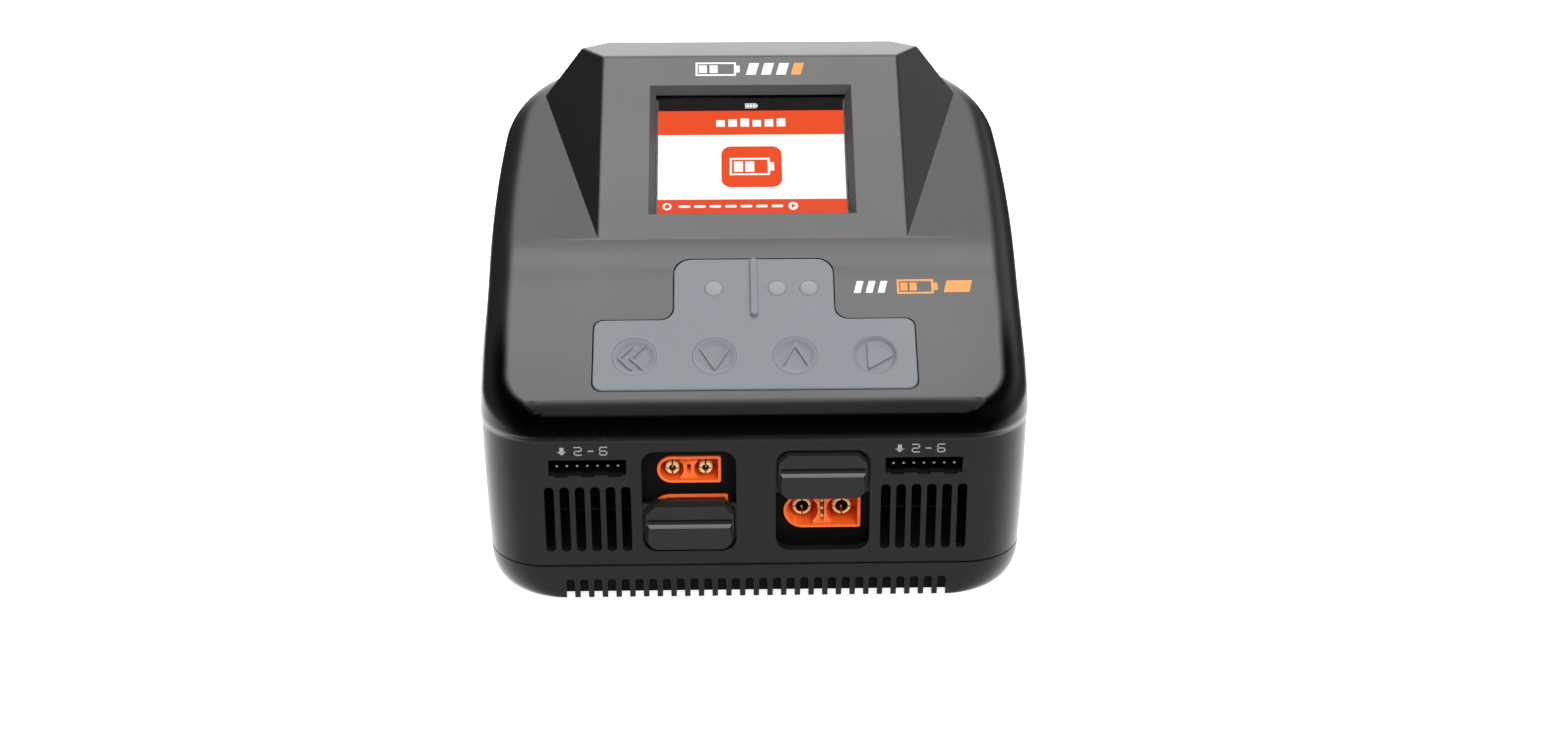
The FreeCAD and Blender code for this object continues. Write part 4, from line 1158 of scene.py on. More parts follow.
        def carve(bm: bmesh.types.BMesh) -> None:
            """Cuts the box by every plane and closes it again."""
            for point, normal in planes:
                geometry = bm.verts[:] + bm.edges[:] + bm.faces[:]
                cut = bmesh.ops.bisect_plane(bm, geom=geometry, plane_co=(point - normal * inset) * MM,
                                             plane_no=normal, clear_outer=True)
                rim = [e for e in cut["geom_cut"] if isinstance(e, bmesh.types.BMEdge)]
                bmesh.ops.holes_fill(bm, edges=rim)
            bmesh.ops.recalc_face_normals(bm, faces=bm.faces)

        with_bmesh(block, carve)
        return block if inset else bevelled(block, self.console_edge, 3, 20)

    def _window(self) -> Piece:
        """The display opening, whose walls slope in."""
        half, (low, high), bevel = self.window_half_w, self.window_k, self.window_bevel
        flare = bevel / self.wall
        sizes = [(half + flare, low - flare, high + flare, 1.0)]
        sizes += [(half - bevel, low + bevel, high - bevel, -self.wall - deeper) for deeper in (0, 3)]
        vertices = [(x, y, height) for width, near, far, height in sizes
                    for x, y in rectangle((-width, width), (near, far))]
        return mesh_object("window_cut", vertices, [[0, 1, 2, 3], [11, 10, 9, 8]] + strip_faces(3, 4), CONSOLE.place)

    @staticmethod
    def _drop_slivers(shell: Piece) -> None:
        """Merges points that a cut left a few microns apart."""
        with_bmesh(shell, lambda bm: bmesh.ops.remove_doubles(bm, verts=bm.verts, dist=0.004 * MM))

    def _mark_nose(self, shell: Piece) -> None:
        """Writes the mask of the painted shade on the nose: full on its front, ending where the deck starts and at
        the corners.
        """
        mask = shell.data.attributes.new("nose", "FLOAT", "POINT")
        for vertex, value in zip(shell.data.vertices, mask.data):
            _, y, z = vertex.co / MM
            turn = vertex.normal.angle(self._top_normal(y))
            rounded = smooth_step((math.degrees(turn) - 1.0) / 9.0)
            if z > self.top_at(y) - 0.01:
                rounded = 0.0
            front = 1 - smooth_step((abs(vertex.normal.x) - 0.30) / 0.45)
            value.value = smooth_step((z - 45.0) / 2.0) * rounded * front * (1 - smooth_step((y + 46.0) / 16.0))

    def _in_bezel(self, middle: Vector, normal: Vector) -> bool:
        """Whether a face belongs to the sloping walls round the display."""
        near = CONSOLE.place.inverted() @ middle
        low, high = self.window_k
        inside = abs(near.x) < self.window_half_w + 0.05 and low - 0.05 < near.y < high + 0.05
        steep = abs(normal.dot(CONSOLE.place.to_3x3() @ Vector((0, 0, 1)))) < 0.95
        return inside and steep and -self.wall - 0.05 < near.z < 0.0


@dataclass
class CaseOpenings:
    """Every opening of the upper case, as solids that are cut out of it."""

    port_half_w: float = 11.65
    port_z: Point2 = (14.6, 42.6)
    port_r: float = 3.5
    vent_x: float = 41.5
    vent_pitch: float = 3.79
    vent_count: int = 6
    vent_half_w: float = 1.2
    vent_z: Point2 = (14.8, 33.0)
    vent_r: float = 1.05
    side_vent_y: Point2 = (-43.2, -40.8)
    side_vent_z: Point2 = (17.0, 31.0)
    side_vent_pitch: float = 5.0
    side_vent_count: int = 7
    side_depth: Point2 = (60.0, 75.0)
    grille_r: float = 22.4
    grille_pitch: float = 4.8
    grille_count: int = 9
    grille_half_h: float = 1.5
    fan_hole_r: float = 1.6
    inlet_half: Point2 = (13.75, 9.95)
    inlet_chamfer: float = 4.0
    inlet_middle: Point2 = (-25.0, 36.0)
    usb_x: Point2 = (-29.2, -20.8)
    usb_z: Point2 = (58.3, 61.7)
    pad_gap: float = 0.28

    def build(self) -> Piece:
        """Joins all the cutting solids, which don't touch one another."""
        cuts = [cut for way in Side for cut in self._side_cuts(way)] + self._rear_cuts()
        cuts.append(prism("pad_cut", pad_outline(self.pad_gap), -6, 4, DECK.place))
        return joined("case_cuts", cuts)

    def _side_cuts(self, way: Side) -> list[Piece]:
        """The port, the balance socket's mouth and the vents on one side."""
        front, x = facing_front(FRONT_Y + 1), way.value * PORT_X
        port = rounded_rectangle((x - self.port_half_w, x + self.port_half_w), self.port_z, self.port_r)
        x = way.value * self.vent_x - (self.vent_count - 1) / 2 * self.vent_pitch
        vent = rounded_rectangle((x - self.vent_half_w, x + self.vent_half_w), self.vent_z, self.vent_r, 4)
        near, far = sorted(way.value * depth for depth in self.side_depth)
        side_vent = rounded_rectangle(self.side_vent_y, self.side_vent_z, self.vent_r, 4)
        return [prism("port_cut", port, -3, 5, front),
                prism("balance_cut", balance_mouth(way.value * SOCKET_X), -3, 5, front),
                REPEAT.row(prism("vent_cut", vent, -3, 5, front), self.vent_count, (self.vent_pitch, 0, 0)),
                REPEAT.row(prism("side_cut", side_vent, near, far, facing_side()), self.side_vent_count,
                           (0, self.side_vent_pitch, 0))]

    def _rear_cuts(self) -> list[Piece]:
        """The fan's grille and screw holes, the mains inlet and the data socket."""
        (x, z), outlines = FAN_CENTRE, []
        for index in range(self.grille_count):
            height = z + (index - (self.grille_count - 1) / 2) * self.grille_pitch
            half = math.sqrt(self.grille_r ** 2 - (height - z) ** 2)
            outlines.append(rounded_rectangle((x - half, x + half),
                                              (height - self.grille_half_h, height + self.grille_half_h), 1.4, 4))
        ends = (-FAN_SCREW_REACH, FAN_SCREW_REACH)
        outlines += [circle((x + dx, z + dz), self.fan_hole_r, 20) for dx in ends for dz in ends]
        (w, h), c, (ix, iz) = self.inlet_half, self.inlet_chamfer, self.inlet_middle
        outlines.append([(ix + dx, iz + dz) for dx, dz in (
            (-w, -h), (w, -h), (w, h - c), (w - c, h), (-w + c, h), (-w, h - c))])
        outlines.append(rounded_rectangle(self.usb_x, self.usb_z, 0.5))
        return [prism("rear_cut", outline, -5, 5, facing_front(REAR_Y)) for outline in outlines]


def balance_mouth(x: float) -> list[Point2]:
    """Outline of a balance socket: a slot with keying notches along its lower edge."""
    low, high, half, drop = 36.2, 40.5, 9.5, 0.45
    points = [(x - half, high), (x - half, low)]
    for centre in (-6.6, 0.0, 6.6):
        points += [(x + centre - 1.6, low), (x + centre - 1.6, low - drop),
                   (x + centre + 1.6, low - drop), (x + centre + 1.6, low)]
    return points + [(x + half, low), (x + half, high)]


@dataclass
class Tray:
    """The lower case: a shallow tray that rolls under at its corners, with a comb along its front edge."""

    top_z: float = 10.45
    base_z: float = 1.2
    half_w: float = 69.75
    tuck: float = 4.2
    wall: float = 2.2
    floor: Point2 = (4.0, 6.2)
    corner_r: Point2 = (15.0, 26.0)
    roll_back: Point2 = (0.6, 3.0)
    roll_share: float = 0.985
    screw_x: float = 56.0
    screw_y: Point2 = (-26.0, 24.0)
    rows: int = 12
    comb_count: int = 28
    comb_pitch: float = 3.45
    comb_half_w: float = 1.02
    comb_top: float = 6.6
    baffle_z: Point2 = (2.6, 7.0)
    baffle_half_w: float = 47.8

    def build(self) -> None:
        """Makes the tray and a dark strip behind its comb, which paints the shade seen through the slots."""
        tray = self._form("lower_tray", 0.0, (self.base_z, self.top_z))
        upper = self._form("tray_upper_room", self.wall, (self.floor[1], self.top_z + 1))
        lower = self._form("tray_lower_room", self.wall, (self.base_z - 1, self.floor[0]))
        merge(tray, Merge.CUT, upper, lower)
        merge(tray, Merge.CUT, self._comb())
        holes = [prism("screw_hole", circle((x, y), 1.55, 20), 0, 12)
                 for x in (-self.screw_x, self.screw_x) for y in self.screw_y]
        merge(tray, Merge.CUT, joined("screw_holes", holes))
        smooth(tray, 35)
        dress(tray, TRAY_PLASTIC, CASE, ["lower_case"])
        # A near-black sheet inside the comb's slots is painted shade between the teeth.
        strip = rounded_rectangle((-self.baffle_half_w, self.baffle_half_w), self.baffle_z, 0.2, 3)
        dress(prism("comb_baffle", strip, 0.0, 0.5, facing_front(FRONT_Y + 1.6)), BAY_PLASTIC, CASE)

    def _form(self, name: str, inset: float, span: Point2) -> Piece:
        """The tray's outer form between two heights, shrunk by an inset."""
        rows = []
        for index in range(self.rows + 1):
            share = index / self.rows
            z = span[0] + (span[1] - span[0]) * (1 - math.cos(share * math.pi / 2))
            depth = min(max((self.top_z - z) / (self.top_z - self.base_z), 0.0), 1.0)
            roll = 1 - math.sqrt(max(1 - (self.roll_share * depth) ** 2, 0.0))
            level = Barrel(self.half_w - self.tuck * roll - inset, FRONT_Y + self.roll_back[0] * roll + inset,
                           REAR_Y - self.roll_back[1] * roll - inset, self.corner_r[0] + 2.0 * roll - inset,
                           self.corner_r[1] - inset)
            rows.append([(x, y, z) for x, y, _, _ in level.columns()])
        return mirrored_skin(name, rows)

    def _comb(self) -> Piece:
        """The open slots between the comb's teeth."""
        front = facing_front(FRONT_Y + 1)
        x = -(self.comb_count - 1) / 2 * self.comb_pitch
        half = self.comb_half_w
        outline = rounded_polygon([(x - half, -2, 0), (x + half, -2, 0), (x + half, self.comb_top, 0.7),
                                   (x - half, self.comb_top, 0.7)], 4)
        return REPEAT.row(prism("comb_slot", outline, -4.0, 5, front), self.comb_count, (self.comb_pitch, 0, 0))


# ---- keypad
def pad_outline(grow: float) -> list[Point2]:
    """Keypad outline: a wide strip with a narrower tab above it."""
    half, tab, low, neck, top = 39.75 + grow, 20.0 + grow, 4.4 - grow, 25.2 + grow, 43.7 + grow
    corners = [(-half, low, 2.5), (half, low, 2.5), (half, neck, 2.5), (tab, neck, 3.4),
               (tab, top, 4.5), (-tab, top, 4.5), (-tab, neck, 3.4), (-half, neck, 2.5)]
    return rounded_polygon(corners, 8)


@dataclass
class KeyDeck:
    """The silicone keypad: the mat with its divider, four dished keys and the channel dots."""

    proud: float = 0.3
    key_r: float = 5.48
    hole_r: float = 5.52
    key_x: tuple[float, ...] = (-29.6, -9.9, 9.9, 29.6)
    key_k: float = 14.2
    dish: float = 0.6
    bowl: float = 2.0
    narrow_bowl: float = 0.9
    flange_r: float = 6.4
    flange: Point2 = (-4.1, -3.6)
    dot_r: float = 2.3
    dot_k: float = 34.55
    dots: dict[str, tuple[float, ...]] = field(
        default_factory=lambda: {"key_channel_one": (-10.06,), "key_channel_two": (5.8, 13.8)})
    mark_rise: float = 0.5

    def build(self) -> None:
        """Makes the mat, the keys and the dots."""
        self._mat()
        for (node, marks), x in zip(self._marks().items(), self.key_x):
            self._key(node, x, marks)
        for node, xs in self.dots.items():
            self._dots(node, xs)

    def _mat(self) -> None:
        """The mat, with holes for the keys and a raised divider."""
        mat = bevelled(prism("keypad_pad", pad_outline(0.0), -3.4, self.proud, DECK.place), 0.35, 3, 50)
        holes = [prism("key_hole", circle((x, self.key_k), self.hole_r, 64), -6, 4, DECK.place) for x in self.key_x]
        holes += [prism("dot_hole", circle((x, self.dot_k), self.dot_r + 0.06, 40), -6, 4, DECK.place)
                  for xs in self.dots.values() for x in xs]
        merge(mat, Merge.CUT, joined("mat_holes", holes))
        rib = prism("divider", rounded_rectangle((-0.95, 0.95), (25.9, 43.3), 0.93, 8), -1, 1.3, DECK.place)
        merge(mat, Merge.ADD, bevelled(rib, 0.35, 3, 50))
        smooth(mat, 35)
        dress(mat, SILICONE, CASE, ["keypad_mat"])

    def _key(self, node: str, x: float, marks: list[list[Point2]]) -> None:
        """One dished key with its raised mark.

        Args:
            node: The frame node, which is also the body.
            x: Place across the keypad.
            marks: Outlines of its raised mark.
        """
        place = DECK.place @ Matrix.Translation((x, self.key_k, 0))
        edge = self.key_r
        low, high = self.flange
        profile = [(0, low), (self.flange_r, low), (self.flange_r, high), (edge, high), (edge, self.proud - 0.12),
                   (edge - 0.05, self.proud - 0.03), (edge - 0.14, self.proud)]
        bowl = self.narrow_bowl if node == "key_enter" else self.bowl
        profile += [(edge - 0.14 - share * bowl, self.proud - self.dish * smooth_step(share))
                    for share in [step / 8 for step in range(1, 9)]]
        profile.append((0, self.proud - self.dish * 1.08))
        key = lathe(node + "_cap", profile, 72, place)
        floor = self.proud - self.dish
        raised = [bevelled(prism("mark", outline, floor - 0.4, floor + self.mark_rise, place), 0.25, 3, 50)
                  for outline in marks]
        merge(key, Merge.ADD, *raised)
        smooth(key, 35)
        dress(key, SILICONE, node, [node])

    @staticmethod
    def _chevron(tip: Point2, way: float, reach: float, thick: float, spread: float) -> list[Point2]:
        """A bent bar whose tip points along an angle and whose arms spread by a number of degrees."""
        arm = math.radians(spread)
        a, b = ((tip[0] + reach * math.cos(turn), tip[1] + reach * math.sin(turn))
                for turn in (way + math.pi - arm, way + math.pi + arm))
        back = (thick * math.cos(way + math.pi), thick * math.sin(way + math.pi))
        a2, inner, b2 = ((x + back[0] * share, y + back[1] * share)
                         for (x, y), share in ((a, 0.75), (tip, 1.0), (b, 0.75)))
        return [tip, a, a2, inner, b2, b]

    def _marks(self) -> dict[str, list[list[Point2]]]:
        """Outlines of the raised marks: two chevrons to the left, one down, one up and a triangle."""
        left, down, up = math.pi, -math.pi / 2, math.pi / 2
        return {"key_back": [self._chevron((-4.4, -0.3), left, 4.7, 1.1, 46),
                             self._chevron((-1.5, -0.3), left, 5.4, 1.1, 46)],
                "key_down": [self._chevron((0, -4.3), down, 8.0, 1.9, 30)],
                "key_up": [self._chevron((0, 4.5), up, 8.4, 1.9, 27)],
                "key_enter": [rounded_polygon([(-2.0, -4.2, 0.4), (4.8, 0, 0.4), (-2.0, 4.2, 0.4)], 4)]}

    def _dots(self, node: str, xs: tuple[float, ...]) -> None:
        """The domed dots of one channel key."""
        domes = []
        for x in xs:
            place = DECK.place @ Matrix.Translation((x, self.dot_k, 0))
            top = self.proud + 0.15
            profile = [(0, self.flange[0]), (self.dot_r, self.flange[0]), (self.dot_r, top - 0.2)]
            profile += [(self.dot_r * math.cos(a), top - 0.2 + 0.35 * math.sin(a))
                        for a in [math.radians(15 * i) for i in range(1, 6)]]
            profile.append((0, top + 0.15))
            domes.append(lathe(node + "_dome", profile, 40, place))
        piece = joined(node + "_caps", domes)
        smooth(piece, 50)
        dress(piece, SILICONE_DOT, node, [node])


# ---- display
def battery_case(centre: Point2, half_w: float, half_h: float, line: float, tip: float) -> list[list[Point2]]:
    """Outlines of a plain battery sign without its level bars.

    Args:
        centre: Middle of the sign.
        half_w: Half its width.
        half_h: Half its height.
        line: Width of its frame's bars.
        tip: Length of its terminal.

    Returns:
        The four bars of its frame and its terminal.
    """
    left, right, low, high = centre[0] - half_w, centre[0] + half_w, centre[1] - half_h, centre[1] + half_h
    return [rectangle((left, right), (low, low + line)), rectangle((left, right), (high - line, high)),
            rectangle((left, left + line), (low + line, high - line)),
            rectangle((right - line, right), (low + line, high - line)),
            rectangle((right, right + tip), (centre[1] - half_h / 2, centre[1] + half_h / 2))]


@dataclass
class ConsoleDisplay:
    """The clear window and the lit panel behind it, which shows a charging screen."""

    half_w: float = 24.48
    bands: tuple[float, ...] = (-18.36, -13.8, 7.3, 15.34, 19.6)
    centre_k: float = 25.6
    face_n: float = -3.15

    def build(self) -> None:
        """Makes the window, the panel and its picture."""
        window = refined("display_window", 0.15)
        window.data.materials.append(ClearFinish().material())
        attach(window, CASE)
        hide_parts("display_window")
        dress(refined("display_panel", 0.2), PANEL_EDGE, CASE, ["display_panel"])
        self._picture()

    def _picture(self) -> None:
        """The picture: bands of colour with plain charging symbols, as thin tiles on the panel."""
        dark = GlowFinish("glow_header", (0.013, 0.011, 0.012))
        orange = GlowFinish("glow_orange", (0.87, 0.085, 0.022))
        white = GlowFinish("glow_white", (0.98, 0.98, 0.98), 1.05)
        footer = GlowFinish("glow_footer", (0.83, 0.085, 0.035))
        half, bands = self.half_w, self.bands
        tiles: list[tuple[GlowFinish, float, list[Point2]]] = []
        for finish, low, high in zip((footer, white, orange, dark), bands, bands[1:]):
            tiles.append((finish, 0.0, rectangle((-half, half), (low, high))))
        tiles += [(white, 0.02, part) for part in self._battery((0.0, 17.0), 0.5, 3)]
        tiles += [(white, 0.02, part) for part in self._cells((0.0, 11.4))]
        tiles.append((orange, 0.02, rounded_rectangle((-7.9, 7.9), (-9.9, 3.4), 2.6, 8)))
        tiles += [(white, 0.04, part) for part in self._battery((-0.5, -3.2), 1.75, 2)]
        tiles += [(white, 0.02, circle((-22.0, -16.0), 1.15, 24)), (footer, 0.04, circle((-22.0, -16.0), 0.65, 24)),
                  (white, 0.02, circle((10.6, -16.0), 1.25, 24)),
                  (footer, 0.04, [(10.2, -16.7), (11.3, -16.0), (10.2, -15.3)])]
        tiles += [(white, 0.02, rounded_rectangle((x, x + 3.0), (-16.4, -15.6), 0.35, 3))
                  for x in (-19.0, -15.0, -11.0, -7.0, -3.0, 1.0, 5.0)]
        pieces = []
        for finish, rise, outline in tiles:
            place = CONSOLE.place @ Matrix.Translation((0, self.centre_k, 0))
            tile = prism("tile", outline, self.face_n, self.face_n + 0.02 + rise, place)
            tile.data.materials.append(finish.material())
            pieces.append((tile, finish.material()))
        self._collect(pieces)

    @staticmethod
    def _collect(pieces: list[tuple[Piece, bpy.types.Material]]) -> None:
        """Joins the tiles into one piece that keeps each tile's colour."""
        mesh = bpy.data.meshes.new("screen_picture")
        materials = list(dict.fromkeys(material for _, material in pieces))
        for material in materials:
            mesh.materials.append(material)
        whole = bmesh.new()
        for tile, material in pieces:
            known = len(whole.faces)
            whole.from_mesh(tile.data)
            whole.faces.ensure_lookup_table()
            for face in whole.faces[known:]:
                face.material_index = materials.index(material)
        whole.to_mesh(mesh)
        whole.free()
        discard(*[tile for tile, _ in pieces])
        picture = linked("screen_picture", mesh)
        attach(picture, CASE)
        log.info("%-28s rides %-18s %6d faces", picture.name, CASE, len(mesh.polygons))

    @staticmethod
    def _battery(centre: Point2, scale: float, bars: int) -> list[list[Point2]]:
        """A plain battery sign: a frame of four bars, a terminal and level bars."""
        x, y = centre
        w, h, t = 3.0 * scale, 1.6 * scale, 0.32 * scale
        step = (2 * w - 3 * t) / 3
        lefts = [x - w + 2 * t + index * step for index in range(bars)]
        return battery_case(centre, w, h, t, 2 * t) + [
            rectangle((left, left + step - t), (y - h + 2 * t, y + h - 2 * t)) for left in lefts]

    @staticmethod
    def _cells(centre: Point2) -> list[list[Point2]]:
        """A row of six cells with level marks."""
        x, y = centre
        parts = []
        for index in range(6):
            left = x - 9.2 + index * 3.2
            height = 2.2 + 0.25 * (index % 3)
            parts.append(rectangle((left, left + 2.3), (y - 1.4, y - 1.4 + height)))
        return parts


# ---- printed marks
SEGMENTS: dict[str, list[tuple[float, float, float, float]]] = {
    "2": [(0, 2, 1, 2), (1, 1, 1, 2), (0, 1, 1, 1), (0, 0, 0, 1), (0, 0, 1, 0)],
    "6": [(0, 2, 1, 2), (0, 0, 0, 2), (0, 1, 1, 1), (1, 0, 1, 1), (0, 0, 1, 0)],
    "-": [(0, 1, 1, 1)],
}


@dataclass
class PrintedMarks:
    """Plain printed signs: battery gauges on the console and the deck, cell counts over the sockets."""

    thick: float = 0.03
    stroke: float = 0.3
    console_row: float = 50.6
    console_bar: Point2 = (2.6, 4.0)
    deck_row: float = 33.1
    deck_bar: Point2 = (1.7, 3.6)
    count_z: float = 41.95

    def build(self) -> None:
        """Makes the white marks and the orange marks."""
        white, orange, grey = [], [], []
        for way in Side:
            grey += self._cell_count(way.value * SOCKET_X - 0.6)
        console, deck = CONSOLE.place, DECK.place
        white += self._solid(self._gauge((-9.2, 52.6), 5.4, 2.3), console)
        white += self._solid([self._slant(x, self.console_row, *self.console_bar) for x in (-1.2, 2.8, 6.8)], console)
        orange += self._solid([self._slant(10.8, self.console_row, *self.console_bar)], console)
        white += self._solid([self._slant(x, self.deck_row, *self.deck_bar) for x in (25.0, 28.0, 31.0)], deck)
        orange += self._solid(self._gauge((40.5, 34.9), 4.6, 2.2), deck)
        orange += self._solid([self._slant(47.6, self.deck_row, 6.4, self.deck_bar[1])], deck)
        for name, parts, finish in (("white_marks", white, WHITE_PRINT), ("orange_marks", orange, ORANGE_PRINT),
                                    ("cell_count_marks", grey, GREY_PRINT)):
            dress(joined(name, parts), finish, CASE)

    def _solid(self, outlines: list[list[Point2]], place: Matrix) -> list[Piece]:
        """Thin closed solids from outlines."""
        return [prism("mark", outline, -0.2, self.thick, place) for outline in outlines]

    @staticmethod
    def _slant(x: float, low: float, width: float, height: float) -> list[Point2]:
        """A leaning bar."""
        lean = height * 0.25
        return [(x, low), (x + width, low), (x + width + lean, low + height), (x + lean, low + height)]

    @staticmethod
    def _gauge(centre: Point2, half_w: float, half_h: float) -> list[list[Point2]]:
        """A plain battery sign with two level bars."""
        x, y = centre
        t = 0.55
        step = (2 * half_w - 4 * t) / 3
        lefts = [x - half_w + 1.6 * t + index * step for index in range(2)]
        return battery_case(centre, half_w, half_h, t, 1.0) + [
            rectangle((left, left + step * 0.75), (y - half_h + 1.8 * t, y + half_h - 1.8 * t)) for left in lefts]

    def _cell_count(self, x: float) -> list[Piece]:
        """A small arrow and the cell counts over one balance socket."""
        place = facing_front(FRONT_Y)
        outlines = [[(x - 6.6, 42.9), (x - 5.5, 41.9), (x - 4.4, 42.9)], rectangle((x - 6.0, x - 5.0), (42.8, 44.0))]
        for text, start, width in (("2", -2.4, 1.7), ("-", 1.0, 1.1), ("6", 3.8, 1.7)):
            for ax, az, bx, bz in SEGMENTS[text]:
                half = self.stroke / 2
                outlines.append(rectangle((x + start + ax * width - half, x + start + bx * width + half),
                                          (self.count_z + az * 1.05 - half, self.count_z + bz * 1.05 + half)))
        return self._solid(outlines, place)


# ---- ports and sockets
@dataclass(frozen=True)
class Connector:
    """Sizes of one battery connector: an orange housing round two split bullets.

    Attributes:
        name: Start of its node names.
        width: Width of the housing.
        height: Height of the housing.
        z: Height of its middle.
        pitch: Distance between the bullets.
        bullet_r: Radius of a bullet.
        bore_r: Radius of the bullet's bore.
        sunk: How far a bullet's mouth stands behind the housing's face.
        depth: Length of the housing.
        wall: Thickness of its rim.
        mouth: Depth of the cavity.
        waist: Half the narrowest width of the bridge between the bullets.
    """

    name: str
    width: float
    height: float
    z: float
    pitch: float
    bullet_r: float
    bore_r: float
    sunk: float
    depth: float
    wall: float
    mouth: float
    waist: float

    def outline(self, x: float, inset: float, flat_r: float) -> list[Point2]:
        """Housing outline: round on the left, square with small corners on the right."""
        left, right = x - self.width / 2 + inset, x + self.width / 2 - inset
        low, high = self.z - self.height / 2 + inset, self.z + self.height / 2 - inset
        round_r = (high - low) / 2 - 0.01
        return rounded_polygon([(left, low, round_r), (right, low, flat_r), (right, high, flat_r),
                                (left, high, round_r)], 10)

    def bridge(self, x: float) -> list[Point2]:
        """Outline of the waisted bridge between the bullets."""
        half_h = self.height / 2 - self.wall / 2
        reach = self.pitch / 2 - self.waist
        arc = [math.radians(-48 + 96 * i / 10) for i in range(11)]
        right = [(x + self.pitch / 2 - reach * math.cos(a), self.z - reach * math.sin(a)) for a in arc]
        left = [(2 * x - px, pz) for px, pz in reversed(right)]
        wide = right[-1][0] - x
        top = [(x + wide, self.z - half_h), (x - wide, self.z - half_h)]
        if right[0][1] > right[-1][1]:
            return right + top + left + [(x - wide, self.z + half_h), (x + wide, self.z + half_h)]
        return left + top[::-1] + right


SMALL = Connector("small", 15.9, 7.4, 35.4, 8.2, 1.72, 0.85, 0.9, 13.0, 0.75, 8.0, 1.25)
LARGE = Connector("large", 19.3, 9.8, 23.5, 9.9, 2.35, 1.6, 2.2, 16.0, 0.8, 9.0, 1.0)


def square_pin(name: str, place: Point2, half: float, corner: float, tip: float, face_y: float) -> Piece:
    """A square contact pin that looks out of the front.

    Args:
        name: Name of the object.
        place: Across and height of its middle.
        half: Half its width.
        corner: Radius of its long edges.
        tip: Where it ends in front of the face.
        face_y: Depth of the face.

    Returns:
        The pin.
    """
    (x, z), back = place, -14.0
    outline = rounded_rectangle((x - half, x + half), (z - half, z + half), corner, 2)
    return prism(name, outline, back, tip, facing_front(face_y))


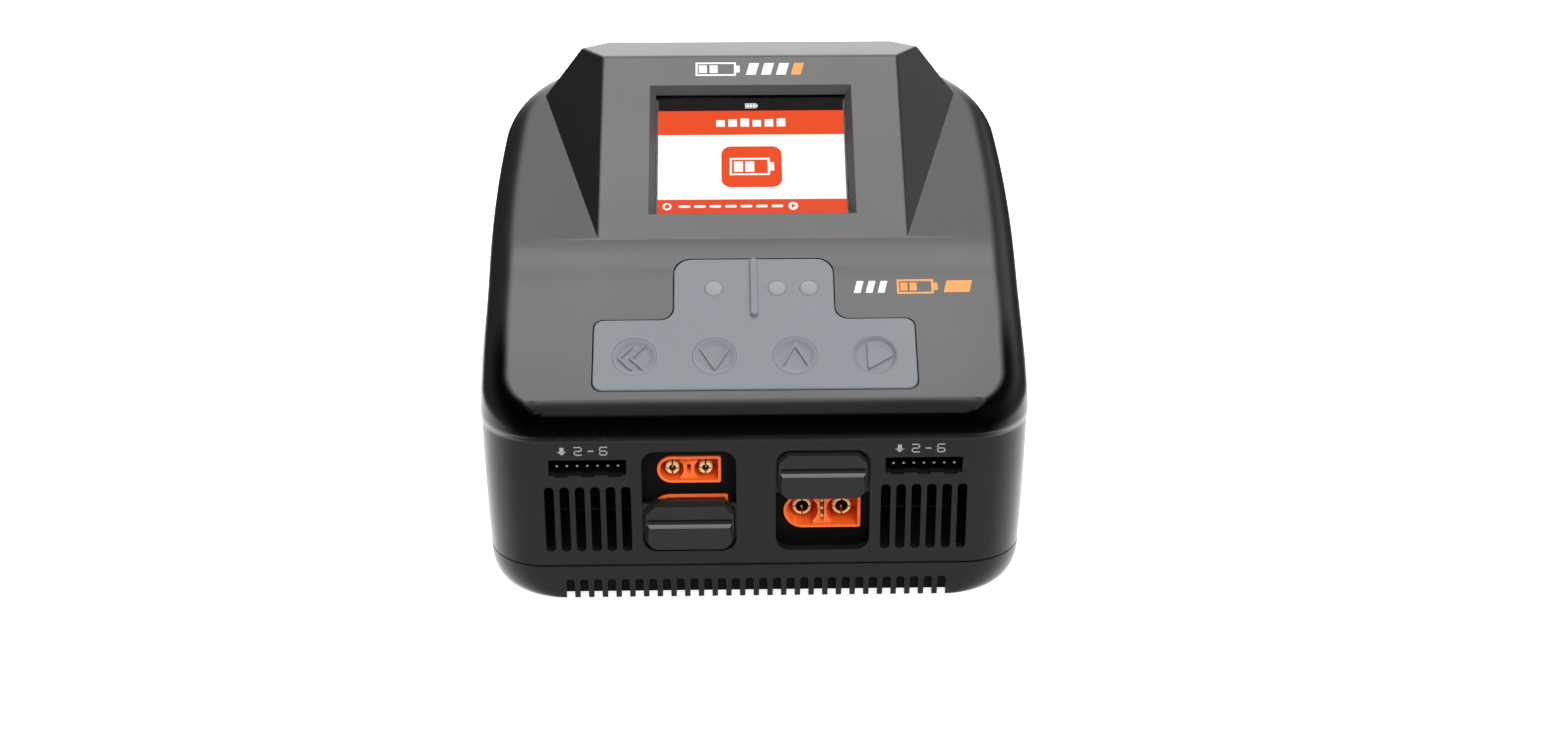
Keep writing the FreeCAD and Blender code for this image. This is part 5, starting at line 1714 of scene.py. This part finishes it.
@dataclass
class OutputPort:
    """One output: the bay, its two battery connectors and the shutter."""

    side: Side
    centre_x: float = PORT_X
    face_y: float = -53.9
    plate_y: float = -57.5
    plate_w: float = 11.22
    plate_h: float = 12.4
    step_h: float = 7.5
    step_proud: float = 1.0
    flange_half_w: float = 12.9
    signal_pitch: float = 2.2
    signal_half_w: float = 0.36
    low_z: dict[Side, float] = field(default_factory=lambda: {Side.LEFT: 15.0, Side.RIGHT: 29.0})

    def build(self) -> None:
        """Makes the port's pieces."""
        word = self.side.word
        dress(refined("port_bay_" + word, 0.15), BAY_PLASTIC, CASE, ["port_bay_" + word])
        for connector in (SMALL, LARGE):
            self._housing(connector)
            self._bullets(connector)
        self._signal_pins()
        self._shutter()

    @property
    def x(self) -> float:
        """Middle of the port."""
        return self.side.value * self.centre_x

    def _housing(self, size: Connector) -> None:
        """A connector's orange housing."""
        place = facing_front(self.face_y)
        word = self.side.word
        body = prism(f"{size.name}_housing_{word}", size.outline(self.x, 0.0, 0.6), -size.depth, 0, place)
        soften(body, 0.22)
        cavity = prism("cavity", size.outline(self.x, size.wall, 0.35), -size.mouth, 1, place)
        merge(cavity, Merge.CUT, prism("bridge", size.bridge(self.x), -size.mouth - 1, -0.35, place))
        merge(body, Merge.CUT, cavity)
        slot_h = 1.3 if size is SMALL else size.height / 2 - 1.5
        cuts = [prism("slot", rounded_rectangle((self.x - 0.5, self.x + 0.5), (size.z - slot_h, size.z + slot_h),
                                                0.3, 3), -size.mouth + 1, 1, place)]
        for end in (-1, 1):
            hole = circle((self.x + end * size.pitch / 2, size.z), size.bullet_r - 0.02, 40)
            cuts.append(prism("seat", hole, -size.depth + 1, -size.mouth + 1, place))
        merge(body, Merge.CUT, joined("housing_cuts", cuts))
        smooth(body, 35)
        dress(body, ORANGE_NYLON, CASE, [f"{size.name}_connector_{word}"])

    def _bullets(self, size: Connector) -> None:
        """A connector's two split gold bullets."""
        start = self.x - size.pitch / 2
        place = Matrix.Translation((start, self.face_y, size.z)) @ Matrix.Rotation(math.radians(90), 4, "X")
        rim, bore, top = size.bullet_r, size.bore_r, -size.sunk
        profile = [(0, -size.depth + 1.2), (rim, -size.depth + 1.2), (rim, top - 0.3), (rim - 0.3, top),
                   (bore + 0.15, top), (bore, top - 0.2), (bore, top - 6.0), (0, top - 6.0)]
        bullet = lathe(f"{size.name}_bullet_pair_{self.side.word}", profile, 48, place)
        slit = 0.22
        for w, h in ((slit, rim + 1), (rim + 1, slit)):
            merge(bullet, Merge.CUT, prism("slit", rectangle((-w, w), (-h, h)), top - 3.5, top + 1, place))
        REPEAT.row(smooth(bullet, 35), 2, (size.pitch, 0, 0))
        dress(bullet, GOLD, CASE, [f"{size.name}_bullets_{self.side.word}"])
        depth = self.face_y + size.sunk + 0.45

        def in_bore(middle: Vector, _: Vector) -> bool:
            """Whether a face lies inside a bullet's bore."""
            away = min(math.hypot(middle.x - start - i * size.pitch, middle.z - size.z) for i in (0, 1))
            return middle.y > depth and away < bore + 0.05

        accent(bullet, BORE_SHADE, in_bore)

    def _signal_pins(self) -> None:
        """Three small gold contacts in the large connector's bridge."""
        pin = square_pin(f"signal_contacts_{self.side.word}", (self.x, LARGE.z - self.signal_pitch),
                         self.signal_half_w, 0.12, -1.2, self.face_y)
        REPEAT.row(soften(pin, 0.1), 3, (0, 0, self.signal_pitch))
        dress(pin, GOLD, CASE, [f"signal_pins_{self.side.word}"])

    def _shutter(self) -> None:
        """The sliding cover: a plate with chamfered upper corners and a raised lower half to push on."""
        word, x, low, half = self.side.word, self.x, self.low_z[self.side], self.plate_w
        high, place, ledge = low + self.plate_h, facing_front(self.plate_y), low + self.step_h
        cap = [rounded_polygon([(x - w, low + d, 3.1 - d), (x + w, low + d, 3.1 - d), (x + w, high - 2.4 - e, 0.5),
                                (x + w - 2.6, high - e, 0.5), (x - w + 2.6, high - e, 0.5),
                                (x - w, high - 2.4 - e, 0.5)], 6) for w, d, e in ((half, 0.0, 0.0),
                                                                                  (half - 0.3, 0.2, 0.55))]
        plate = prism("shutter_cover_" + word, cap[0], -3.5, -0.9, place)
        merge(plate, Merge.ADD, frustum("shutter_cap", cap[0], cap[1], -1.0, 0.0, place))
        soften(plate, 0.12, 2, 20)
        back, front = (rounded_polygon([(x - half + w, low + d, r), (x + half - w, low + d, r),
                                        (x + half - u, ledge - e, 0.15), (x - half + u, ledge - e, 0.15)], 6)
                       for w, d, r, u, e in ((0.02, 0.02, 3.1, 0.02, 0.0), (0.35, 0.3, 2.8, 1.3, 1.3)))
        step = frustum("shutter_step", back, front, -1.0, self.step_proud, place)
        soften(step, 0.1, 2, 20)
        merge(plate, Merge.ADD, step)
        groove = prism("shutter_groove", rounded_rectangle((x - half + 0.7, x + half - 0.7),
                                                           (ledge + 0.05, ledge + 0.75), 0.2, 3), -0.8, 2, place)
        merge(plate, Merge.CUT, groove)
        flange = prism("shutter_flange", rounded_rectangle(
            (x - self.flange_half_w, x + self.flange_half_w), (low + 0.6, high - 0.6), 0.8, 4), -3.05, -1.95, place)
        merge(plate, Merge.ADD, soften(flange, 0.2))
        smooth(plate, 22)
        dress(plate, SHUTTER_PLASTIC, "port_shutter_" + word, ["port_shutter_" + word])
        # The sloping ledge face gets a painted highlight as a lighter grey finish.
        accent(plate, LEDGE_PAINTED_HIGHLIGHT, lambda middle, normal: (
            0.7 < normal.z < 0.96 and ledge - 1.5 < middle.z < ledge + 0.1 and abs(middle.x - x) < half - 0.5))


@dataclass
class BalanceSocket:
    """One balance header and its pins."""

    side: Side
    pitch: float = 2.5
    pin_w: float = 0.55
    pin_z: float = 38.5

    def build(self) -> None:
        """Makes the header and the pins."""
        word = self.side.word
        dress(refined("balance_header_" + word, 0.1), SOCKET_BLACK, CASE, ["balance_header_" + word])
        pin = square_pin("balance_contacts_" + word, (self.side.value * SOCKET_X - 3 * self.pitch, self.pin_z),
                         self.pin_w / 2, 0.1, -0.9, FRONT_Y)
        REPEAT.row(soften(pin, 0.12), 7, (self.pitch, 0, 0))
        dress(pin, TIN, CASE, ["balance_pins_" + word])


PLAIN_NODES: dict[str, tuple[Finish, float]] = {
    "fan_frame": (FAN_PLASTIC, 0.3), "mains_inlet": (INLET_PLASTIC, 0.25),
    "inlet_pins": (PIN_METAL, 0.2), "usb_socket": (PIN_METAL, 0.1), "rubber_feet": (FOOT_RUBBER, 0.5),
    "board_screws": (SCREW_STEEL, 0.2), "main_board": (BOARD, 0.1),
    "front_board": (DARK_BOARD, 0.1), "display_board": (BOARD, 0.1), "key_board": (BOARD, 0.1),
    "key_switches": (SWITCH_METAL, 0.1), "ribbon_cable": (CABLE_FILM, 0.05), "mains_wires": (WIRE_SLEEVE, 0.1),
    "transformer_core": (FERRITE, 0.4), "transformer_winding": (COPPER, 0.5), "bulk_capacitors": (SLEEVE, 0.8),
    "output_capacitors": (SLEEVE, 0.5), "toroids": (COPPER, 0.1), "buzzer": (BUZZER_PLASTIC, 0.5),
    "heatsink_left": (HEATSINK, 0.2), "heatsink_right": (HEATSINK, 0.2),
}


def build_plain_nodes() -> None:
    """Makes the rear fittings and the inner parts from the frame's own shapes."""
    for node, (finish, width) in PLAIN_NODES.items():
        dress(refined(node, width), finish, CASE, [node])


# ---- rear fan and screws
@dataclass
class FanRotor:
    """The fan's rotor: a hub with a bore and swept, cambered blades."""

    centre: Point3 = (FAN_CENTRE[0], 43.9, FAN_CENTRE[1])
    depth: float = 11.0
    hub_r: float = 9.0
    bore_r: float = 1.56
    bore_depth: float = 10.4
    blades: int = 7
    blade_r: Point2 = (8.0, 22.4)
    half_chord: Point2 = (5.4, 7.4)
    tilt: Point2 = (46.0, 57.0)
    sweep: float = 14.0
    camber: float = 1.1
    thick: float = 1.1
    stations: int = 9
    chord_steps: int = 8

    def build(self) -> None:
        """Makes the hub and its ring of blades."""
        x, y, z = self.centre
        place = Matrix.Translation((x, y, z)) @ Matrix.Rotation(math.radians(-90), 4, "X")
        profile = [(0, self.bore_depth), (self.bore_r, self.bore_depth), (self.bore_r, 0), (self.hub_r - 0.3, 0),
                   (self.hub_r, 0.3), (self.hub_r, self.depth - 0.8), (self.hub_r - 0.8, self.depth), (0, self.depth)]
        hub = lathe("rotor_hub", profile, 72, place)
        ring = REPEAT.ring(self._blade(), self.blades, (0, 1, 0))
        ring.data.transform(Matrix.Translation(Vector((x, y + self.depth / 2, z)) * MM))
        merge(hub, Merge.ADD, ring)
        dress(smooth(hub, 35), FAN_PLASTIC, "fan_rotor", ["fan_rotor"])

    def _blade(self) -> Piece:
        """One blade round the origin, as a closed loft from its root to its tip."""
        loops = []
        for station in range(self.stations + 1):
            share = station / self.stations
            radius = self.blade_r[0] + (self.blade_r[1] - self.blade_r[0]) * share
            half = self.half_chord[0] + (self.half_chord[1] - self.half_chord[0]) * share
            tilt = math.radians(self.tilt[0] + (self.tilt[1] - self.tilt[0]) * share)
            loop = []
            for side in (1, -1):
                for step in range(self.chord_steps + 1):
                    along = (2 * step / self.chord_steps - 1) * side
                    bow = self.camber * (1 - along * along)
                    off = bow + side * self.thick / 2 * math.sqrt(max(1 - along ** 4, 0.04))
                    axial = half * along * math.cos(tilt) - off * math.sin(tilt)
                    tangent = half * along * math.sin(tilt) + off * math.cos(tilt)
                    angle = tangent / radius + math.radians(self.sweep) * share
                    loop.append((radius * math.cos(angle), axial, radius * math.sin(angle)))
            loops.append(loop)
        count = len(loops[0])
        faces = strip_faces(len(loops), count)
        faces += [list(range(count))[::-1], [self.stations * count + i for i in range(count)]]
        return mesh_object("rotor_blade", [point for loop in loops for point in loop], faces)


@dataclass(frozen=True)
class ScrewSize:
    """Sizes of a pan-head screw.

    Attributes:
        head_r: Radius of the head.
        head_h: Height of the head.
        shank_r: Radius of the shank.
        length: Length of the shank.
    """

    head_r: float
    head_h: float
    shank_r: float
    length: float

    def build(self, name: str, place: Matrix) -> Piece:
        """One screw along the place's Z axis, its head above zero, with a cross recess.

        Args:
            name: Name of the object.
            place: Where the underside of the head sits.

        Returns:
            The screw.
        """
        rise = self.head_h * 0.45
        dome = [(self.head_r * math.cos(a), rise + (self.head_h - rise) * math.sin(a))
                for a in [math.radians(15 * i) for i in range(6)]]
        profile = [(0, -self.length), (self.shank_r - 0.3, -self.length), (self.shank_r, -self.length + 0.3),
                   (self.shank_r, 0), (self.head_r, 0), *dome, (0, self.head_h)]
        screw = lathe(name, profile, 40, place)
        for wide, long in ((0.32, self.head_r * 0.55), (self.head_r * 0.55, 0.32)):
            bar = rectangle((-wide, wide), (-long, long))
            merge(screw, Merge.CUT, prism("recess", bar, self.head_h * 0.35, self.head_h + 1, place))
        return smooth(screw, 35)


def build_screws() -> None:
    """Makes the fan's screws and the screws under the case."""
    x, z, pitch = FAN_CENTRE[0] - FAN_SCREW_REACH, FAN_CENTRE[1] - FAN_SCREW_REACH, 2 * FAN_SCREW_REACH
    rear = Matrix.Translation((x, REAR_Y, z)) @ Matrix.Rotation(math.radians(-90), 4, "X")
    screw = ScrewSize(2.6, 1.2, 1.5, 14.0).build("fan_screw_set", rear)
    REPEAT.row(screw, 2, (pitch, 0, 0))
    REPEAT.row(screw, 2, (0, 0, pitch))
    dress(screw, SCREW_STEEL, CASE, ["fan_screws"])
    low, high = (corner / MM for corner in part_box("case_screws"))
    under = Matrix.Translation((low[0] + 2.8, low[1] + 2.8, low[2] + 2.0)) @ Matrix.Rotation(math.pi, 4, "X")
    screw = ScrewSize(2.8, 2.0, 1.5, high[2] - low[2] - 2.0).build("case_screw_set", under)
    REPEAT.row(screw, 2, (high[0] - low[0] - 5.6, 0, 0))
    REPEAT.row(screw, 2, (0, high[1] - low[1] - 5.6, 0))
    dress(screw, SCREW_STEEL, CASE, ["case_screws"])


# ---- studio
@dataclass
class Studio:
    """The floor, the lights, the surroundings and the camera."""

    lens: float = 54.34
    place: Point3 = (-6.58, -569.29, 313.28)
    elevation: float = 25.97
    azimuth: float = -1.50
    roll: float = 0.15
    floor_glow: float = 0.85

    def build(self) -> None:
        """Sets up everything that isn't part of the charger."""
        self._floor()
        self._lights()
        self._world()
        self._camera()

    def _floor(self) -> None:
        """A large pale floor that the case doesn't mirror and whose shadow stays light."""
        span = (-4000.0, 4000.0)
        floor = mesh_object("studio_floor", [(x, y, 0) for x, y in rectangle(span, span)], [[0, 1, 2, 3]])
        material, graph, shader = blank_material("floor_paper", Base_Color=(0.9, 0.9, 0.9, 1), Roughness=0.9,
                                                 Emission_Color=(1, 1, 1, 1))
        seen = graph.add("ShaderNodeLightPath").outputs["Is Camera Ray"]
        graph.link(graph.math("MULTIPLY", seen, self.floor_glow), shader.inputs["Emission Strength"])
        floor.data.materials.append(material)
        floor.visible_glossy = False

    @staticmethod
    def _area(name: str, place: Point3, target: Point3, size: Point2, power: float) -> None:
        """One soft rectangular light.

        Args:
            name: Name of the light.
            place: Position in metres.
            target: Point that it looks at, in metres.
            size: Width and height in metres.
            power: Power in watts.
        """
        data = bpy.data.lights.new(name, "AREA")
        data.shape = "RECTANGLE"
        data.size, data.size_y = size
        data.energy = power
        light = bpy.data.objects.new(name, data)
        light.location = place
        aim = Vector(target) - Vector(place)
        light.rotation_euler = aim.to_track_quat("-Z", "Y").to_euler()
        bpy.context.scene.collection.objects.link(light)

    def _lights(self) -> None:
        """Two broad fills, in front and behind, that light colours without showing in the gloss."""
        for name, place, power in (("front_fill", (0.3, -1.35, 1.25), 34.0), ("rear_fill", (0.4, 1.5, 1.1), 14.0)):
            self._area(name, place, (0, 0, 0.05), (1.4, 1.0), power)
            bpy.data.objects[name].visible_glossy = False

    @staticmethod
    def _world() -> None:
        """White to the camera; for everything else a soft band from overhead to the back, and a bright floor."""
        world = bpy.data.worlds.new("studio_surround")
        bpy.context.scene.world = world
        world.use_nodes = True
        graph = Graph(world.node_tree)
        background = world.node_tree.nodes["Background"]
        split = graph.add("ShaderNodeSeparateXYZ")
        graph.link(graph.add("ShaderNodeTexCoord").outputs["Generated"], split.inputs[0])
        x, y, z = (split.outputs[axis] for axis in "XYZ")
        across = graph.ramp(graph.math("ABSOLUTE", x), 0.24, 0.42, 1.0, 0.0)
        behind = graph.ramp(y, -0.10, 0.02, 0.0, 1.0)
        level = graph.math("ADD", graph.ramp(y, 0.14, 0.36, 6.8, 2.2), graph.ramp(y, 0.5, 0.8, 0.0, 0.55))
        above = graph.ramp(z, -0.04, 0.06, 0.0, 1.0)
        band = graph.math("MULTIPLY", graph.math("MULTIPLY", across, behind), graph.math("MULTIPLY", level, above))
        side = graph.math("MULTIPLY", graph.ramp(x, 0.5, 0.7, 0.0, 0.7), graph.ramp(z, 0.2, 0.4, 0.0, 1.0))
        floor = graph.math("MULTIPLY", graph.ramp(z, -0.40, -0.24, 1.0, 0.0), graph.ramp(y, -0.5, 0.5, 0.45, 2.2))
        total = graph.math("ADD", graph.math("ADD", band, side), graph.math("ADD", floor, 0.04))
        seen = graph.add("ShaderNodeLightPath").outputs["Is Camera Ray"]
        light = graph.add("ShaderNodeCombineColor")
        for channel in ("Red", "Green", "Blue"):
            graph.link(total, light.inputs[channel])
        graph.link(graph.blend(seen, light.outputs[0], (1, 1, 1)), background.inputs["Color"])
        settings = bpy.context.scene.view_settings
        settings.view_transform = "Standard"
        settings.look = "None"

    def _camera(self) -> None:
        """The camera."""
        tilt, turn, roll = (math.radians(v) for v in (self.elevation, self.azimuth, self.roll))
        ahead = Vector((-math.sin(turn) * math.cos(tilt), math.cos(turn) * math.cos(tilt), -math.sin(tilt)))
        right = Vector((math.cos(turn), math.sin(turn), 0))
        up = right.cross(ahead)
        turned_right = right * math.cos(roll) + up * math.sin(roll)
        turned_up = up * math.cos(roll) - right * math.sin(roll)
        data = bpy.data.cameras.new("view")
        data.lens = self.lens
        data.sensor_width = 36.0
        data.clip_start = 0.01
        camera = bpy.data.objects.new("view", data)
        camera.matrix_world = Matrix.Translation(Vector(self.place) * MM) @ Matrix(
            [[turned_right[i], turned_up[i], -ahead[i]] for i in range(3)]).to_4x4()
        bpy.context.scene.collection.objects.link(camera)
        bpy.context.scene.camera = camera


def main() -> None:
    """Builds the charger, then its surroundings."""
    CaseShell().build(CaseOpenings().build())
    Tray().build()
    KeyDeck().build()
    ConsoleDisplay().build()
    PrintedMarks().build()
    for side in Side:
        OutputPort(side).build()
        BalanceSocket(side).build()
    build_plain_nodes()
    FanRotor().build()
    build_screws()
    Studio().build()


if __name__ == "__main__":
    main()
